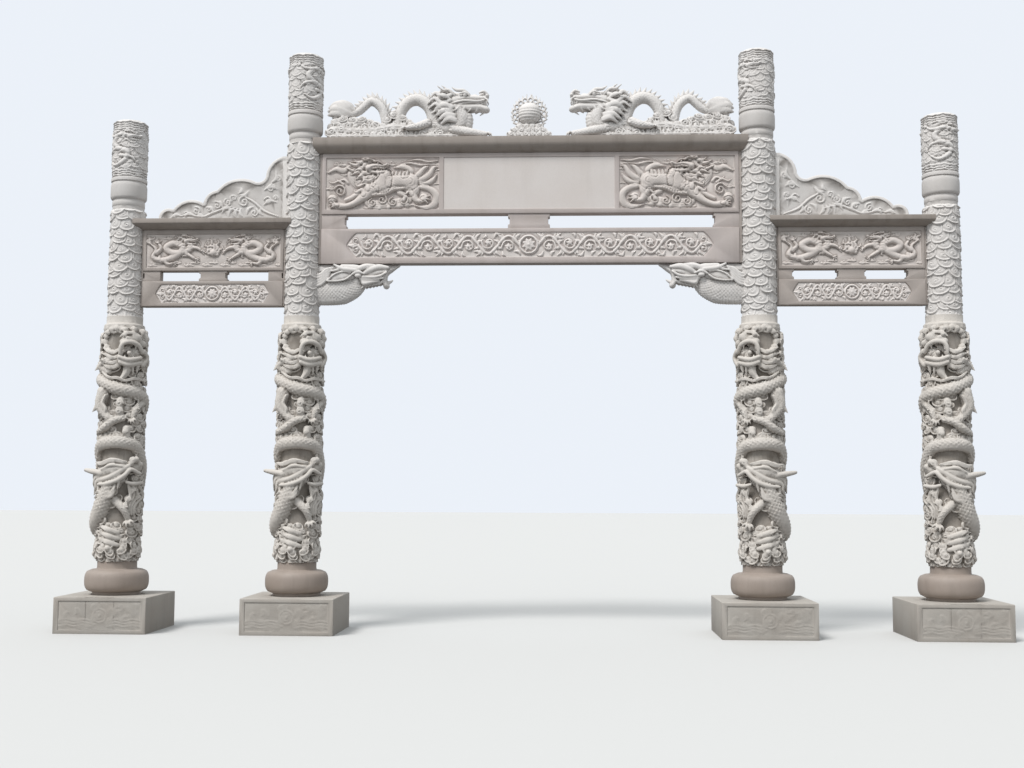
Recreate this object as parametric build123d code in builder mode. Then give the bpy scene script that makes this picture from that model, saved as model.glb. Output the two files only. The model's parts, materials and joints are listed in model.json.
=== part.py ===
from build123d import *

import os
from math import cos, hypot, radians, sin, sqrt

# A granite ceremonial gateway of four round columns and three bays.
# X runs along the gateway, the front looks along -Y, Z is up, millimetres.
# The origin is on the ground in the middle of the central passage.

# Setting out
central_spacing = 6000.0  # between the axes of the two inner columns
side_spacing = 2369.0  # from an inner column's axis to the outer one's
seat_clearance = 0.3  # between a coped stone and the round shaft it meets

# Plinths
plinth_width = 1180.0
plinth_depth = 1185.0
plinth_height = 457.0
plinth_arris = 8.0  # chamfer along the top edges
plinth_stile = 62.0  # plain border left and right of the sunk field
plinth_rail = 48.0  # plain border above and below it
plinth_sinking = 10.0

# Turned stones are cut with this many narrow flats
turned_sides = 22

# Drums between plinth and shaft
drum_foot_radius = 305.0
drum_foot_height = 37.0
drum_radius = 405.0
drum_belly_height = 287.0
drum_belly_flat = 118.0  # height of the belly's upright middle
drum_shoulder_radius = 330.0
drum_neck_radius = 250.0
drum_neck_height = 105.0

# Dragon shafts, the lower column drums
dragon_shaft_height = 3199.0
dragon_shaft_radius = 232.0
dragon_shaft_sides = 14
dragon_ring_radius = 247.0  # from the shaft's axis to the middle of a dragon's body
dragon_body_radius = 80.0
dragon_neck_radius = 112.0
dragon_leg_radius = 48.0
dragon_body_sides = 5
# A dragon's route as (degrees round the shaft, rise above the shaft's foot). 0 degrees
# looks along the gateway to its middle, 90 to the front and 180 away from the middle.
upper_body_route = [
    (40, 2714),
    (-10, 2630),
    (-60, 2564),
    (-115, 2490),
    (-170, 2410),
    (-225, 2329),
    (-275, 2244),
    (-325, 2185),
    (-375, 2080),
    (-430, 1880),
    (-490, 1780),
    (-550, 1660),
]
lower_neck_route = [(65, 1094), (97, 930), (127, 700), (160, 500), (195, 394)]
lower_body_route = [
    (190, 400),
    (235, 440),
    (275, 620),
    (315, 930),
    (352, 1240),
    (395, 1470),
    (445, 1545),
    (495, 1500),
    (545, 1320),
    (600, 1140),
    (655, 1010),
]
leg_routes = [
    [(120, 2214), (135, 2020), (105, 1854)],
    [(20, 2100), (40, 1960), (45, 1850)],
]
# The upper dragon's head looks out of the shaft, jaws open. Its outline is given as
# (distance from the shaft's axis, height over the mouth).
upper_head_angle = 50.0
upper_head_rise = 2744.0
upper_head_width = 230.0
upper_head_outline = [
    (200, 225),
    (300, 215),
    (350, 110),
    (325, 55),
    (240, 60),
    (240, -50),
    (320, -105),
    (310, -180),
    (200, -190),
]
# The lower one lies on the front and looks to the middle. Its outline is given as
# (distance from the shaft's axis, away from the middle, and rise over its mouth).
lower_head_rise = 1214.0
lower_head_depth = 330.0  # in front of the shaft's axis
lower_head_outline = [
    (120, 90),
    (-60, 130),
    (-290, 180),
    (-345, 150),
    (-335, 90),
    (-120, 10),
    (-300, 20),
    (-320, -50),
    (-90, -90),
    (120, -60),
]
dragon_horn_length = 310.0  # of the horn that stands out beside the lower head
dragon_horn_radius = 34.0
dragon_collar_radius = 268.0  # wreath of clouds under the cloud shaft
dragon_collar_height = 125.0
dragon_collar_rise = 2970.0
dragon_rock_radius = 305.0  # rocks and waves round the foot
dragon_rock_height = 330.0
dragon_rock_shoulder = 130.0

# Cloud shafts, the upper column drums
cloud_shaft_radius = 228.0
inner_cap_drop = 54.0  # of the cap's foot under the central cornice's top
outer_cap_lift = 137.0  # of the cap's foot over the side cornice's top

# Caps
cap_neck_radius = 205.0
cap_neck_height = 140.0
cap_bulge_radius = 236.0
cap_bulge_height = 235.0
cap_bulge_bevel = 42.0
cap_ring_radius = 234.0
cap_ring_height = 60.0
cap_radius = 222.0
cap_height = 772.0
cap_arris = 17.0

# Central bay
central_clear_height = 4790.0  # ground to the lower beam
central_lower_beam_height = 465.0
central_slot_height = 197.0
central_plaque_beam_height = 813.0
central_beam_thickness = 180.0
central_jamb_width = 46.0
central_jamb_thickness = 150.0
central_end_block = 330.0  # length of a block under the beam's end
central_middle_block = 551.0
plaque_half_width = 1128.0
plaque_divider = 60.0
panel_side_border = 50.0
panel_top_border = 55.0
panel_bottom_border = 62.0
beast_panel_sinking = 20.0
plaque_sinking = 12.0
lower_panel_side = 335.0  # from the beam's end to the panel's point
lower_panel_point = 130.0  # how far the point stands out of the panel's shoulder
lower_panel_top_border = 55.0
lower_panel_bottom_border = 80.0
lower_panel_sinking = 14.0

# Side bays
side_clear_height = 4231.0
side_lower_beam_height = 335.0
side_slot_height = 138.0
side_panel_beam_height = 549.0
side_beam_thickness = 160.0
side_jamb_width = 30.0
side_jamb_thickness = 132.0
side_inner_block = 200.0
side_middle_block = 375.0
side_outer_block = 235.0
side_panel_side_border = 42.0
side_panel_top_border = 58.0
side_panel_bottom_border = 42.0
side_panel_sinking = 16.0
side_lower_panel_side = 178.0
side_lower_panel_point = 78.0
side_lower_panel_top_border = 42.0
side_lower_panel_bottom_border = 44.0

# Blocks between the beams
block_inset = 22.0  # of the block's waist behind its two slabs
block_slab_share = 0.24  # of the block's height

# Cornices
central_cornice_depth = 380.0
central_fascia_height = 81.0
central_cove_height = 118.0
side_cornice_depth = 400.0
side_fascia_height = 58.0
side_cove_height = 74.0
cornice_nib = 9.0  # blunt end of a cornice where it laps in front of a shaft

# Gable panels over the side bays
gable_length = 1700.0
gable_height = 860.0
gable_thickness = 120.0
gable_wall_start = 30.0  # level top of the panel beside the shaft

# Dragon brackets under the central lower beam. Outlines are given in shares of the
# bracket's length from the shaft's wall and of its height under the beam.
bracket_length = 1100.0
bracket_height = 550.0
bracket_thickness = 170.0
bracket_outline = [
    (0.03, -0.99),
    (0.4, -0.965),
    (0.474, -0.906),
    (0.544, -0.795),
    (0.641, -0.6),
    (0.79, -0.55),
    (0.82, -0.44),
    (1.0, -0.03),
    (1.0, 0.0),
]
bracket_snout = (0.812, -0.515)
bracket_snout_radius = 48.0
bracket_eye = (0.482, -0.31)
bracket_eye_radius = 34.0
bracket_horn_outline = [(0.46, -0.1), (0.42, -0.2), (0.2, -0.06), (0.22, -0.01)]
bracket_ear_outline = [(0.4, -0.3), (0.33, -0.24), (0.2, -0.27), (0.26, -0.38), (0.37, -0.4)]
bracket_boss = 22.0  # how far horns, ears and eyes stand out of the faces

# Dragons on the central cornice. Outlines and routes are given as (distance behind the
# nose, height over the cornice), drawn for a dragon of the drawn length.
ridge_dragon_gap = 1072.0  # between the two noses
ridge_tail_clearance = 42.0  # from the cloud bank's end to the cap's bulge
ridge_drawn_length = 2186.0
ridge_bank_start = 400.0
ridge_bank_height = 205.0
ridge_bank_thickness = 210.0
ridge_bank_clouds = 8
ridge_cloud_rise = 32.0
ridge_head_thickness = 180.0
ridge_head_outline = [
    (10, 600),
    (0, 655),
    (60, 640),
    (110, 610),
    (250, 650),
    (300, 700),
    (350, 655),
    (540, 640),
    (600, 480),
    (500, 390),
    (300, 388),
    (180, 420),
    (100, 345),
    (45, 350),
    (30, 515),
    (330, 517),
    (330, 535),
    (40, 555),
]
ridge_chest_outline = [
    (310, 0),
    (285, 250),
    (330, 380),
    (380, 430),
    (560, 520),
    (700, 420),
    (620, 300),
    (700, 0),
]
ridge_mane_thickness = 150.0
ridge_mane_outline = [
    (500, 640),
    (640, 700),
    (610, 620),
    (740, 640),
    (660, 560),
    (770, 540),
    (660, 480),
    (740, 430),
    (600, 420),
    (500, 450),
]
ridge_horn_thickness = 30.0
ridge_horn_outline = [(330, 640), (430, 640), (620, 735), (400, 680)]
ridge_leg_thickness = 80.0
ridge_leg_outline = [(0, 0), (35, 150), (100, 190), (150, 150), (250, 190), (420, 230), (420, 0)]
ridge_tail_thickness = 70.0
ridge_tail_outline = [
    (1830, 330),
    (1850, 430),
    (1900, 500),
    (2000, 545),
    (2060, 500),
    (2150, 470),
    (2100, 420),
    (2160, 360),
    (2060, 320),
    (1950, 330),
]
ridge_middle_cloud_outline = [(1240, 200), (1255, 320), (1310, 372), (1365, 320), (1375, 200)]
ridge_big_body_radius = 80.0
ridge_big_route = [
    (725, 150),
    (725, 300),
    (758, 422),
    (847, 512),
    (970, 545),
    (1092, 512),
    (1182, 422),
    (1215, 300),
    (1215, 150),
]
ridge_small_body_radius = 62.0
ridge_small_route = [
    (1405, 150),
    (1400, 330),
    (1455, 470),
    (1575, 533),
    (1690, 480),
    (1758, 395),
    (1870, 365),
    (2000, 375),
]
ridge_fin_spacing = 90.0
ridge_fin_lean = 0.9  # of a fin's tip, in shares of its length
ridge_fin_rise = 60.0
ridge_fin_thickness = 30.0

# Flaming pearl
pearl_radius = 145.0
pearl_sides = 12
pearl_bands = 6  # between the grooves round the ball
pearl_centre_height = 391.0
pearl_base_length = 571.0
pearl_base_height = 135.0
pearl_base_thickness = 230.0
pearl_base_shoulder = 75.0  # height of the clouds at the base's two ends
halo_radius = 205.0
halo_inner_radius = 160.0
halo_thickness = 70.0
halo_flame_rise = 26.0

# Heights and places that follow from the sizes above
inner_axis = central_spacing / 2
outer_axis = inner_axis + side_spacing
drum_foot = plinth_height
drum_belly_top = drum_foot_height + drum_belly_height
drum_height = drum_belly_top + drum_neck_height
dragon_shaft_foot = drum_foot + drum_height
cloud_shaft_foot = dragon_shaft_foot + dragon_shaft_height
central_slot_foot = central_clear_height + central_lower_beam_height
plaque_beam_foot = central_slot_foot + central_slot_height
central_cornice_foot = plaque_beam_foot + central_plaque_beam_height
central_cornice_top = central_cornice_foot + central_cove_height + central_fascia_height
side_slot_foot = side_clear_height + side_lower_beam_height
side_panel_beam_foot = side_slot_foot + side_slot_height
side_cornice_foot = side_panel_beam_foot + side_panel_beam_height
side_cornice_top = side_cornice_foot + side_cove_height + side_fascia_height
inner_cloud_height = central_cornice_top - inner_cap_drop - cloud_shaft_foot
outer_cloud_height = side_cornice_top + outer_cap_lift - cloud_shaft_foot
ridge_dragon_length = (
    inner_axis - cap_bulge_radius - ridge_tail_clearance - ridge_dragon_gap / 2
)

columns = {
    "left_outer": (-outer_axis, outer_cloud_height),
    "left_inner": (-inner_axis, inner_cloud_height),
    "right_inner": (inner_axis, inner_cloud_height),
    "right_outer": (outer_axis, outer_cloud_height),
}
sides = {"left": -1, "right": 1}

os.makedirs("parts", exist_ok=True)


def save(stone, label):
    """Names a finished stone and writes its file."""
    stone.part.label = label
    export_step(stone.part, f"parts/{label}.step")


def upright(x, y, z, facing=-1):
    """A standing plane at a point, its normal along Y towards `facing`, its local y up."""
    return Plane(origin=(x, y, z), x_dir=(-facing, 0, 0), z_dir=(0, facing, 0))


def chord_half(radius, half_depth):
    """Distance from a shaft's axis to its surface, at a depth in front of the axis."""
    return sqrt(radius**2 - half_depth**2)


def make_plinth(label, x):
    """A square base block with a sunk field on each of its four sides."""
    with BuildPart(Plane((x, 0, 0))) as stone:
        Box(plinth_width, plinth_depth, plinth_height, align=(Align.CENTER, Align.CENTER, Align.MIN))
        chamfer(stone.edges().group_by(Axis.Z)[-1], plinth_arris)
        for turn in range(4):
            across = plinth_width if turn % 2 == 0 else plinth_depth
            reach = plinth_depth / 2 if turn % 2 == 0 else plinth_width / 2
            side = Plane(origin=(x, 0, plinth_height / 2), x_dir=(1, 0, 0), z_dir=(0, -1, 0))
            side = side.rotated((0, 90 * turn, 0)).offset(reach)
            with BuildSketch(side):
                Rectangle(across - 2 * plinth_stile, plinth_height - 2 * plinth_rail)
            extrude(amount=-plinth_sinking, mode=Mode.SUBTRACT)
    save(stone, label)


def make_drum(label, x):
    """A turned base: swelling belly with a neck on it and a foot disc under it."""
    belly_foot = drum_foot + drum_foot_height
    bevel_height = (drum_belly_height - drum_belly_flat) / 2
    with BuildPart() as stone:
        with BuildSketch(Plane((x, 0, belly_foot))):
            RegularPolygon(drum_radius, turned_sides)
        extrude(amount=drum_belly_height)
        for end, radius in ((-1, drum_shoulder_radius), (0, drum_foot_radius)):
            chamfer(
                stone.edges().group_by(Axis.Z)[end],
                drum_radius - radius,
                bevel_height,
                reference=stone.faces().sort_by(Axis.Z)[end],
            )
        with BuildSketch(Plane((x, 0, belly_foot + drum_belly_height))):
            RegularPolygon(drum_neck_radius, turned_sides)
        extrude(amount=drum_neck_height)
        with BuildSketch(Plane((x, 0, drum_foot))):
            RegularPolygon(drum_foot_radius, turned_sides)
        extrude(amount=drum_foot_height)
    save(stone, label)


def around_shaft(way, angle):
    """Direction from a shaft's axis at an angle of a dragon's route."""
    return Vector(-way * cos(radians(angle)), -sin(radians(angle)), 0)


def add_body(places, radius, out):
    """Adds a body along straight lengths, one of its edges on the side given by `out`."""
    with BuildLine(mode=Mode.PRIVATE) as route:
        Polyline(*places)
    start = Plane(route.line @ 0, x_dir=out, z_dir=route.line % 0)
    with BuildSketch(start, mode=Mode.PRIVATE) as section:
        RegularPolygon(radius, dragon_body_sides)
    sweep(section.sketch, path=route.wires()[0], transition=Transition.RIGHT)


def add_plate(plane, outline, thickness):
    """Adds a plate with a polygon outline, centred on its plane."""
    with BuildSketch(plane, mode=Mode.PRIVATE) as face:
        with BuildLine():
            Polyline(*outline, close=True)
        make_face()
    extrude(face.sketch, amount=thickness / 2, both=True)


def make_dragon_shaft(label, x):
    """A shaft with two dragons wound round it, over rocks and under a wreath of clouds."""
    way = 1 if x > 0 else -1
    axis_foot = Vector(x, 0, dragon_shaft_foot)
    with BuildPart() as stone:
        with BuildSketch(Plane(axis_foot)):
            RegularPolygon(dragon_rock_radius, dragon_shaft_sides)
        extrude(amount=dragon_rock_height)
        chamfer(
            stone.edges().group_by(Axis.Z)[-1],
            dragon_rock_radius - dragon_shaft_radius,
            dragon_rock_shoulder,
            reference=stone.faces().sort_by(Axis.Z)[-1],
        )
        with BuildSketch(Plane(axis_foot)):
            RegularPolygon(dragon_shaft_radius, dragon_shaft_sides)
        extrude(amount=dragon_shaft_height)
        with BuildSketch(Plane(axis_foot + Vector(0, 0, dragon_collar_rise))):
            RegularPolygon(dragon_collar_radius, dragon_shaft_sides)
        extrude(amount=dragon_collar_height)
        routes = [
            (upper_body_route, dragon_body_radius),
            (lower_neck_route, dragon_neck_radius),
            (lower_body_route, dragon_body_radius),
        ]
        routes += [(route, dragon_leg_radius) for route in leg_routes]
        for route, radius in routes:
            places = [
                axis_foot + around_shaft(way, angle) * dragon_ring_radius + Vector(0, 0, rise)
                for angle, rise in route
            ]
            add_body(places, radius, around_shaft(way, route[0][0]))
        out = around_shaft(way, upper_head_angle)
        mouth = axis_foot + Vector(0, 0, upper_head_rise)
        head_plane = Plane(mouth, x_dir=out, z_dir=out.cross(Vector(0, 0, 1)))
        add_plate(head_plane, upper_head_outline, upper_head_width)
        head_plane = upright(x, -lower_head_depth / 2, dragon_shaft_foot + lower_head_rise)
        lower_head = [(way * u, v) for u, v in lower_head_outline]
        add_plate(head_plane, lower_head, lower_head_depth)
        root = axis_foot + Vector(way * dragon_body_radius, -dragon_ring_radius, lower_head_rise)
        tip = root + Vector(way * dragon_horn_length, dragon_ring_radius / 2, 0)
        add_body([root, tip], dragon_horn_radius, Vector(0, 0, 1))
    save(stone, label)


def make_cloud_shaft(label, x, height):
    """The upper shaft."""
    with BuildPart() as stone:
        with BuildSketch(Plane((x, 0, cloud_shaft_foot))):
            Circle(cloud_shaft_radius)
        extrude(amount=height)
    save(stone, label)


def make_cap(label, x, foot):
    """The turned cap: recessed neck, smooth bulge, thin ring and tall cylinder."""
    bulge_foot = foot + cap_neck_height
    ring_foot = bulge_foot + cap_bulge_height
    with BuildPart() as stone:
        with BuildSketch(Plane((x, 0, bulge_foot))):
            RegularPolygon(cap_bulge_radius, turned_sides)
        extrude(amount=cap_bulge_height)
        for end in (-1, 0):
            chamfer(
                stone.edges().group_by(Axis.Z)[end],
                cap_bulge_radius - cap_radius,
                cap_bulge_bevel,
                reference=stone.faces().sort_by(Axis.Z)[end],
            )
        for radius, block_foot, height in (
            (cap_ring_radius, ring_foot, cap_ring_height),
            (cap_radius, ring_foot + cap_ring_height, cap_height),
        ):
            with BuildSketch(Plane((x, 0, block_foot))):
                RegularPolygon(radius, turned_sides)
            extrude(amount=height)
        chamfer(stone.edges().group_by(Axis.Z)[-1], cap_arris)
        with BuildSketch(Plane((x, 0, foot))):
            RegularPolygon(cap_neck_radius, turned_sides)
        extrude(amount=cap_neck_height)
    save(stone, label)


def cope(axes, radius, foot, top):
    """Cuts round seats for the shafts out of the stone being made."""
    with Locations(*[(x, 0, foot) for x in axes]):
        Cylinder(
            radius + seat_clearance,
            top - foot,
            align=(Align.CENTER, Align.CENTER, Align.MIN),
            mode=Mode.SUBTRACT,
        )


def make_cornice(label, axes, depth, beam_thickness, foot, cove_height, fascia_height):
    """A moulded ledge on a bay's beams, notched round the shafts at both ends."""
    front = depth / 2
    lap = chord_half(cloud_shaft_radius + seat_clearance, front - cornice_nib)
    start, end = axes[0] + lap, axes[1] - lap
    top = cove_height + fascia_height
    with BuildPart() as stone:
        with BuildSketch(Plane(origin=(start, 0, foot), x_dir=(0, 1, 0), z_dir=(1, 0, 0))):
            with BuildLine():
                for way in (1, -1):
                    Line((0, 0), (way * beam_thickness / 2, 0))
                    SagittaArc(
                        (way * beam_thickness / 2, 0),
                        (way * front, cove_height),
                        -way * cove_height / 6,
                    )
                    Polyline((way * front, cove_height), (way * front, top), (0, top))
            make_face()
        extrude(amount=end - start)
        cope(axes, cloud_shaft_radius, foot, foot + top)
    save(stone, label)


def ogee_field(half_length, half_height, point):
    """A sunk field whose two ends run out to a point in shallow curves."""
    shoulder = half_length - point
    with BuildSketch(mode=Mode.PRIVATE) as field:
        with BuildLine():
            for way in (1, -1):
                Line((0, way * half_height), (shoulder, way * half_height))
                Line((0, way * half_height), (-shoulder, way * half_height))
                for end in (1, -1):
                    SagittaArc(
                        (end * shoulder, way * half_height),
                        (end * half_length, 0),
                        end * way * point / 9,
                    )
        make_face()
    return field.sketch


def sink_field(field, x, z, thickness, depth):
    """Cuts a field into the front and the back of the stone being made."""
    for facing in (-1, 1):
        place = upright(x, facing * thickness / 2, z, facing)
        extrude(place * field, amount=-depth, mode=Mode.SUBTRACT)


def make_beam(label, start, end, foot, height, thickness, fields):
    """A straight beam with sunk fields, each given as (sketch, x, z, depth)."""
    with BuildPart() as stone:
        with Locations(((start + end) / 2, 0, foot)):
            Box(end - start, thickness, height, align=(Align.CENTER, Align.CENTER, Align.MIN))
        for field, x, z, depth in fields:
            sink_field(field, x, z, thickness, depth)
    save(stone, label)


def rectangle_field(width, height):
    """A rectangular sunk field."""
    with BuildSketch(mode=Mode.PRIVATE) as field:
        Rectangle(width, height)
    return field.sketch


def block_side(edge, inset, height):
    """One end of a block from bottom to top, waisted by an inset or straight."""
    slab = height * block_slab_share
    waist = [(edge + inset, slab + abs(inset) / 2), (edge + inset, height - slab)]
    places = [(edge, 0), (edge, slab)] + waist + [(edge, height - slab), (edge, height)]
    return places if inset else [(edge, 0), (edge, height)]


def make_blocks(label, blocks, foot, height, thickness):
    """Blocks between two beams, waisted at their free ends, from the first to the last."""
    with BuildPart() as stone:
        for number, (start, end) in enumerate(blocks):
            left = block_side(start, block_inset if number > 0 else 0, height)
            right = block_side(end, -block_inset if number < len(blocks) - 1 else 0, height)
            add_plate(upright(0, 0, foot), left + right[::-1], thickness)
    save(stone, label)


def make_jambs(label, axes, width, thickness, beam_thickness, foot, top):
    """Narrow upright strips that close the joint between the beams' ends and the shafts."""
    seat = chord_half(cloud_shaft_radius + seat_clearance, beam_thickness / 2)
    with BuildPart() as stone:
        for axis, way in ((axes[0], 1), (axes[1], -1)):
            face = axis + way * (seat + width)
            with Locations(((axis + face) / 2, 0, foot)):
                Box(
                    abs(face - axis),
                    thickness,
                    top - foot,
                    align=(Align.CENTER, Align.CENTER, Align.MIN),
                )
        cope(axes, cloud_shaft_radius, foot, top)
    save(stone, label)


def make_gable(label, way):
    """A cloud-edged panel that steps down from the inner shaft to the outer one."""
    wall = inner_axis + cloud_shaft_radius
    lobes = [
        ((1.0, 0.0), (0.98, 0.15), (0.89, 0.175)),
        ((0.89, 0.175), (0.79, 0.315), (0.65, 0.27)),
        ((0.65, 0.27), (0.615, 0.41), (0.545, 0.475)),
        ((0.545, 0.475), (0.44, 0.625), (0.24, 0.60)),
        ((0.24, 0.60), (0.185, 0.62), (0.16, 0.69)),
        ((0.16, 0.69), (0.12, 0.89), (gable_wall_start / gable_length, 1.0)),
    ]
    with BuildPart() as stone:
        with BuildSketch(upright(0, 0, side_cornice_top)):
            with BuildLine():
                for lobe in lobes:
                    points = [(way * (wall + u * gable_length), v * gable_height) for u, v in lobe]
                    ThreePointArc(*points)
                Polyline(
                    (way * (wall + gable_wall_start), gable_height),
                    (way * inner_axis, gable_height),
                    (way * inner_axis, 0),
                    (way * (wall + gable_length), 0),
                )
            make_face()
        extrude(amount=gable_thickness / 2, both=True)
        cope([way * inner_axis], cloud_shaft_radius, side_cornice_top, side_cornice_top + gable_height)
    save(stone, label)


def bracket_places(way, shares):
    """Places on a bracket's face, from shares of its length and height."""
    wall = inner_axis - cloud_shaft_radius
    return [(way * (wall - u * bracket_length), v * bracket_height) for u, v in shares]


def make_bracket(label, way):
    """A dragon's head and neck that springs from the shaft under the lower beam."""
    foot = central_clear_height - bracket_height
    centre = upright(0, 0, central_clear_height)
    outline = [(way * inner_axis, 0), (way * inner_axis, -bracket_height)]
    outline += bracket_places(way, bracket_outline)
    across_eyes = bracket_thickness + 2 * bracket_boss
    with BuildPart() as stone:
        add_plate(centre, outline, bracket_thickness)
        for relief in (bracket_horn_outline, bracket_ear_outline):
            add_plate(centre, bracket_places(way, relief), across_eyes)
        for place, radius, thickness in (
            (bracket_snout, bracket_snout_radius, bracket_thickness),
            (bracket_eye, bracket_eye_radius, across_eyes),
        ):
            with BuildSketch(centre):
                with Locations(*bracket_places(way, [place])):
                    RegularPolygon(radius, dragon_body_sides * 2)
            extrude(amount=thickness / 2, both=True)
        cope([way * inner_axis], cloud_shaft_radius, foot, central_clear_height)
    save(stone, label)


def ridge_places(way, drawn):
    """Places on a ridge dragon, stretched from the drawn length to the real one."""
    stretch = ridge_dragon_length / ridge_drawn_length
    nose = ridge_dragon_gap / 2
    return [(way * (nose + a * stretch), b) for a, b in drawn]


def crest_outline(route, radius):
    """A saw-toothed fin along the upper side of a route, its teeth swept to the tail."""
    teeth = []
    flat = radius * cos(radians(180 / dragon_body_sides))
    for (a, b), (next_a, next_b) in zip(route, route[1:]):
        run, rise = next_a - a, next_b - b
        length = hypot(run, rise)
        count = max(1, round(length / ridge_fin_spacing))
        for tooth in range(count):
            for share, reach in ((0, 0), (ridge_fin_lean, ridge_fin_rise)):
                along = (tooth + share) / count
                lift = (flat + reach) / length
                teeth.append((a + along * run - lift * rise, b + along * rise + lift * run))
    return teeth + route[::-1]


def bank_outline():
    """The cloud bank that a ridge dragon lies on, its top edge in lobes."""
    lobe = (ridge_drawn_length - ridge_bank_start) / ridge_bank_clouds
    top = ridge_bank_height + ridge_cloud_rise
    outline = [(ridge_drawn_length, ridge_bank_height), (ridge_drawn_length, 0), (ridge_bank_start, 0)]
    for cloud in range(ridge_bank_clouds):
        left = ridge_bank_start + cloud * lobe
        outline += [(left, ridge_bank_height), (left + lobe / 4, top), (left + 3 * lobe / 4, top)]
    return outline


def make_ridge_dragon(label, way):
    """A dragon on the cornice: cloud bank, arched body with a crest, head, legs and tail."""
    plane = upright(0, 0, central_cornice_top)
    with BuildPart() as stone:
        for outline, thickness in (
            (bank_outline(), ridge_bank_thickness),
            (ridge_chest_outline, ridge_bank_thickness),
            (ridge_head_outline, ridge_head_thickness),
            (ridge_mane_outline, ridge_mane_thickness),
            (ridge_middle_cloud_outline, ridge_bank_thickness),
            (ridge_tail_outline, ridge_tail_thickness),
            (crest_outline(ridge_big_route[1:-1], ridge_big_body_radius), ridge_fin_thickness),
            (crest_outline(ridge_small_route[1:-2], ridge_small_body_radius), ridge_fin_thickness),
        ):
            add_plate(plane, ridge_places(way, outline), thickness)
        for outline, across, thickness in (
            (ridge_horn_outline, ridge_head_thickness, ridge_horn_thickness),
            (ridge_leg_outline, ridge_bank_thickness, ridge_leg_thickness),
        ):
            for side in (-1, 1):
                face = upright(0, side * (across - thickness) / 2, central_cornice_top)
                add_plate(face, ridge_places(way, outline), thickness)
        for route, radius in (
            (ridge_big_route, ridge_big_body_radius),
            (ridge_small_route, ridge_small_body_radius),
        ):
            places = [(x, 0, central_cornice_top + b) for x, b in ridge_places(way, route)]
            add_body(places, radius, (-way, 0, 0))
    save(stone, label)


def make_pearl(label):
    """The flaming pearl: cloud base, banded ball and a flat flame ring round it."""
    with BuildPart() as stone:
        with BuildSketch(upright(0, 0, central_cornice_top)):
            with BuildLine():
                Polyline(
                    (-pearl_base_length / 2, 0),
                    (pearl_base_length / 2, 0),
                    (pearl_base_length / 2, pearl_base_shoulder),
                    (pearl_base_length / 4, pearl_base_height),
                    (-pearl_base_length / 4, pearl_base_height),
                    (-pearl_base_length / 2, pearl_base_shoulder),
                    close=True,
                )
            make_face()
        extrude(amount=pearl_base_thickness / 2, both=True)
        centre = central_cornice_top + pearl_centre_height
        with BuildSketch(upright(0, 0, centre)):
            RegularPolygon(halo_radius, pearl_sides)
            with PolarLocations(halo_radius, pearl_sides):
                RegularPolygon(halo_flame_rise, 3)
            RegularPolygon(halo_inner_radius, pearl_sides, mode=Mode.SUBTRACT)
        extrude(amount=halo_thickness / 2, both=True)
        band_height = 2 * pearl_radius / pearl_bands
        for band in range(pearl_bands):
            foot = centre - pearl_radius + band * band_height
            lift = abs(foot + band_height / 2 - centre)
            with BuildSketch(Plane((0, 0, foot))):
                RegularPolygon(chord_half(pearl_radius, lift), pearl_sides)
            extrude(amount=band_height)
        with BuildSketch(Plane((0, 0, central_cornice_top + pearl_base_shoulder))):
            Rectangle(pearl_radius, halo_thickness)
        extrude(amount=pearl_centre_height - pearl_base_shoulder - pearl_radius / 2)
    save(stone, label)


def make_central_bay():
    """The beams, blocks, jambs and cornice between the inner columns."""
    axes = (-inner_axis, inner_axis)
    seat = chord_half(cloud_shaft_radius + seat_clearance, central_beam_thickness / 2)
    end = inner_axis - seat - central_jamb_width
    beast_height = central_plaque_beam_height - panel_top_border - panel_bottom_border
    beast_start = plaque_half_width + plaque_divider
    beast_width = end - panel_side_border - beast_start
    panel_z = plaque_beam_foot + panel_bottom_border + beast_height / 2
    plaque = rectangle_field(2 * plaque_half_width, beast_height)
    beast = rectangle_field(beast_width, beast_height)
    beast_x = beast_start + beast_width / 2
    make_beam(
        "central_plaque_beam",
        -end,
        end,
        plaque_beam_foot,
        central_plaque_beam_height,
        central_beam_thickness,
        [
            (plaque, 0, panel_z, plaque_sinking),
            (beast, -beast_x, panel_z, beast_panel_sinking),
            (beast, beast_x, panel_z, beast_panel_sinking),
        ],
    )
    field_height = central_lower_beam_height - lower_panel_top_border - lower_panel_bottom_border
    scroll = ogee_field(end - lower_panel_side, field_height / 2, lower_panel_point)
    scroll_z = central_clear_height + lower_panel_bottom_border + field_height / 2
    make_beam(
        "central_lower_beam",
        -end,
        end,
        central_clear_height,
        central_lower_beam_height,
        central_beam_thickness,
        [(scroll, 0, scroll_z, lower_panel_sinking)],
    )
    make_blocks(
        "central_spacers",
        [
            (-end, -end + central_end_block),
            (-central_middle_block / 2, central_middle_block / 2),
            (end - central_end_block, end),
        ],
        central_slot_foot,
        central_slot_height,
        central_jamb_thickness,
    )
    make_jambs(
        "central_jambs",
        axes,
        central_jamb_width,
        central_jamb_thickness,
        central_beam_thickness,
        central_clear_height,
        central_cornice_foot,
    )
    make_cornice(
        "central_cornice",
        axes,
        central_cornice_depth,
        central_beam_thickness,
        central_cornice_foot,
        central_cove_height,
        central_fascia_height,
    )


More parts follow.
